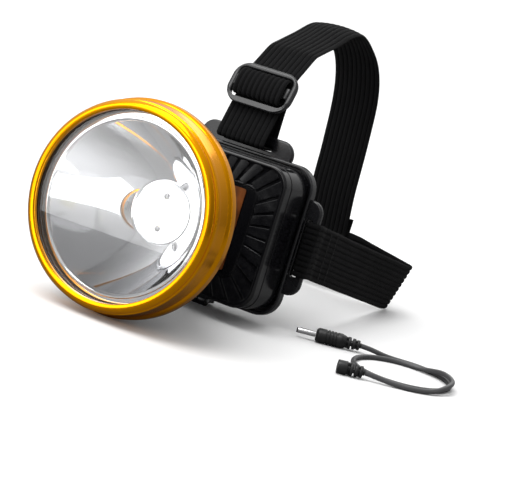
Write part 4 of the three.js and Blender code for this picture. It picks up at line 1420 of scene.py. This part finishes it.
class CAPLAMP_OT_inner_parts(bpy.types.Operator):
    """Gives the inner parts their finishes"""

    bl_idname = "caplamp.inner_parts"
    bl_label = "Inner Parts"
    bl_options = {"REGISTER", "UNDO"}

    def execute(self, context):
        colours = context.scene.cap_lamp_colours
        paint(MATERIALS["Lead Rubber"], "lens_seal", "led_wire_black")
        paint(
            metal("Cast Alloy", (0.62, 0.63, 0.65), 0.38, grain=1200.0, strength=0.08, wear=0.1),
            "heat_sink"
        )
        paint(moulded("Red Sleeve", (0.42, 0.012, 0.01), 0.4, wear=0.05), "led_wire_red")
        paint(satin_plastic(colours), "neck_nut")
        wrap = moulded(
            "Cell Wrap", (0.02, 0.14, 0.42), 0.3, grain=300.0, strength=0.05, wear=0.1, Coat_Weight=0.3
        )
        paint(wrap, "cell_upper", "cell_lower")
        paint(
            metal("Nickel Strip", (0.7, 0.68, 0.63), 0.25, stretch=(1, 1, 8)), "cell_strip_right",
            "cell_strip_left"
        )
        green = moulded(
            "Board Green", (0.01, 0.12, 0.03), 0.3, grain=250.0, strength=0.1, wear=0, Coat_Weight=0.5
        )
        paint(green, "charge_board")
        paint(label_material(colours.label), "front_label")
        return {"FINISHED"}


class CAPLAMP_OT_stage(bpy.types.Operator):
    """Adds the floor, the lamps' light and the sky"""

    bl_idname = "caplamp.stage"
    bl_label = "Stage"
    bl_options = {"REGISTER", "UNDO"}

    def execute(self, context):
        stage = context.scene.cap_lamp_stage
        self.floor(stage)
        self.sky(stage)
        self.lights(stage)
        view = bpy.context.scene.view_settings
        view.view_transform = "Standard"
        view.look = "None"
        return {"FINISHED"}

    def floor(self, stage):
        bm = bmesh.new()
        bmesh.ops.create_grid(bm, x_segments=1, y_segments=1, size=FLOOR_HALF)
        mesh = bpy.data.meshes.new("floor")
        bm.to_mesh(mesh)
        bm.free()
        floor = bpy.data.objects.new("floor", mesh)
        bpy.context.collection.objects.link(floor)
        tree, shader = finish("Floor", 0.6, Specular_IOR_Level=0.1)
        speck = use(tree, "Grain", Scale=300.0)
        pale = stage.floor
        base = mixed(tree, speck["Cloud"], rgba((pale, pale, pale), 0.99), rgba((pale, pale, pale)))
        path = add_node(tree, "LightPath").outputs
        # Off the camera the floor is 0.55, and in glossy rays it is painted dark (0.2): a painted shade in
        # the reflections on the bowl and the black plastics.
        reflected_floor_painted_dark = mixed(tree, path["Is Glossy Ray"], rgba((0.55, 0.55, 0.56)), rgba((0.2, 0.2, 0.2)))
        tree.links.new(mixed(tree, path["Is Camera Ray"], reflected_floor_painted_dark, base), shader.inputs["Base Color"])
        mesh.materials.append(MATERIALS["Floor"])

    def sky(self, stage):
        world = bpy.data.worlds.new("Sky")
        bpy.context.scene.world = world
        world.use_nodes = True
        tree = world.node_tree
        way = add_node(tree, "SeparateXYZ", {0: add_node(tree, "TexCoord").outputs["Generated"]}).outputs
        dome_light = ranged(tree, way["Z"], -0.1, 0.9, 0.45, 1.15 * stage.sky)
        light = maths(tree, "MULTIPLY", dome_light, ranged(tree, way["X"], -0.1, 0.8, 1.0, 0.3))
        grey = add_node(tree, "CombineColor", {0: light, 1: light, 2: light}).outputs[0]
        dome = add_node(tree, "Background", {"Color": grey}).outputs[0]
        white = add_node(tree, "Background", {"Color": (1, 1, 1, 1), "Strength": 1.05}).outputs[0]
        seen = add_node(tree, "LightPath").outputs["Is Camera Ray"]
        both = add_node(tree, "MixShader", {0: seen, 1: dome, 2: white})
        tree.links.new(both.outputs[0], tree.nodes["World Output"].inputs["Surface"])

    def lights(self, stage):
        sun = bpy.data.lights.new("Top Light", "SUN")
        sun.energy = stage.sun
        sun.angle = radians(40)
        self.hang(sun, (-0.3, -0.4, 1.2))
        for name, place, width, height, radiance in SOFTBOXES:
            lamp = bpy.data.lights.new(name, "AREA")
            lamp.shape = "RECTANGLE"
            lamp.size, lamp.size_y = width, height
            lamp.energy = radiance * stage.boxes * width * height * pi
            self.hang(lamp, place, LIGHT_TARGET)

    def hang(self, lamp, place, target=Vector((0, 0, 0))):
        holder = bpy.data.objects.new(lamp.name, lamp)
        aim = (target - Vector(place)).to_track_quat("-Z", "Y").to_matrix().to_4x4()
        holder.matrix_world = Matrix.Translation(place) @ aim
        holder.visible_camera = False
        bpy.context.collection.objects.link(holder)


OPERATORS = (
    CAPLAMP_OT_camera, CAPLAMP_OT_charging_lead, CAPLAMP_OT_bezel, CAPLAMP_OT_lens, CAPLAMP_OT_reflector,
    CAPLAMP_OT_light_source, CAPLAMP_OT_head_shell, CAPLAMP_OT_front_cover, CAPLAMP_OT_battery_case,
    CAPLAMP_OT_case_screws, CAPLAMP_OT_strap_plate, CAPLAMP_OT_hinge_pin, CAPLAMP_OT_switch_and_jack,
    CAPLAMP_OT_forehead_pad, CAPLAMP_OT_head_strap, CAPLAMP_OT_crown_strap, CAPLAMP_OT_sliders,
    CAPLAMP_OT_inner_parts, CAPLAMP_OT_stage,
)


class CAPLAMP_PT_panel(bpy.types.Panel):
    """The cap lamp's sizes, colours and pieces"""

    bl_idname = "CAPLAMP_PT_panel"
    bl_label = "Cap Lamp"
    bl_space_type = "VIEW_3D"
    bl_region_type = "UI"
    bl_category = "Cap Lamp"

    def draw(self, context):
        scene = context.scene
        for group in (scene.cap_lamp_sizes, scene.cap_lamp_colours, scene.cap_lamp_stage):
            column = self.layout.column(align=True)
            for name in group.__annotations__:
                column.prop(group, name)
        column = self.layout.column(align=True)
        for operator in OPERATORS:
            column.operator(operator.bl_idname)


CLASSES = (LampSizes, LampColours, StageSettings, *OPERATORS, CAPLAMP_PT_panel)


def register():
    for item in CLASSES:
        bpy.utils.register_class(item)
    bpy.types.Scene.cap_lamp_sizes = bpy.props.PointerProperty(type=LampSizes)
    bpy.types.Scene.cap_lamp_colours = bpy.props.PointerProperty(type=LampColours)
    bpy.types.Scene.cap_lamp_stage = bpy.props.PointerProperty(type=StageSettings)


def unregister():
    del bpy.types.Scene.cap_lamp_stage
    del bpy.types.Scene.cap_lamp_colours
    del bpy.types.Scene.cap_lamp_sizes
    for item in reversed(CLASSES):
        bpy.utils.unregister_class(item)


def main():
    register()
    for operator in OPERATORS:
        group, name = operator.bl_idname.split(".")
        getattr(getattr(bpy.ops, group), name)()


if __name__ == "__main__":
    main()
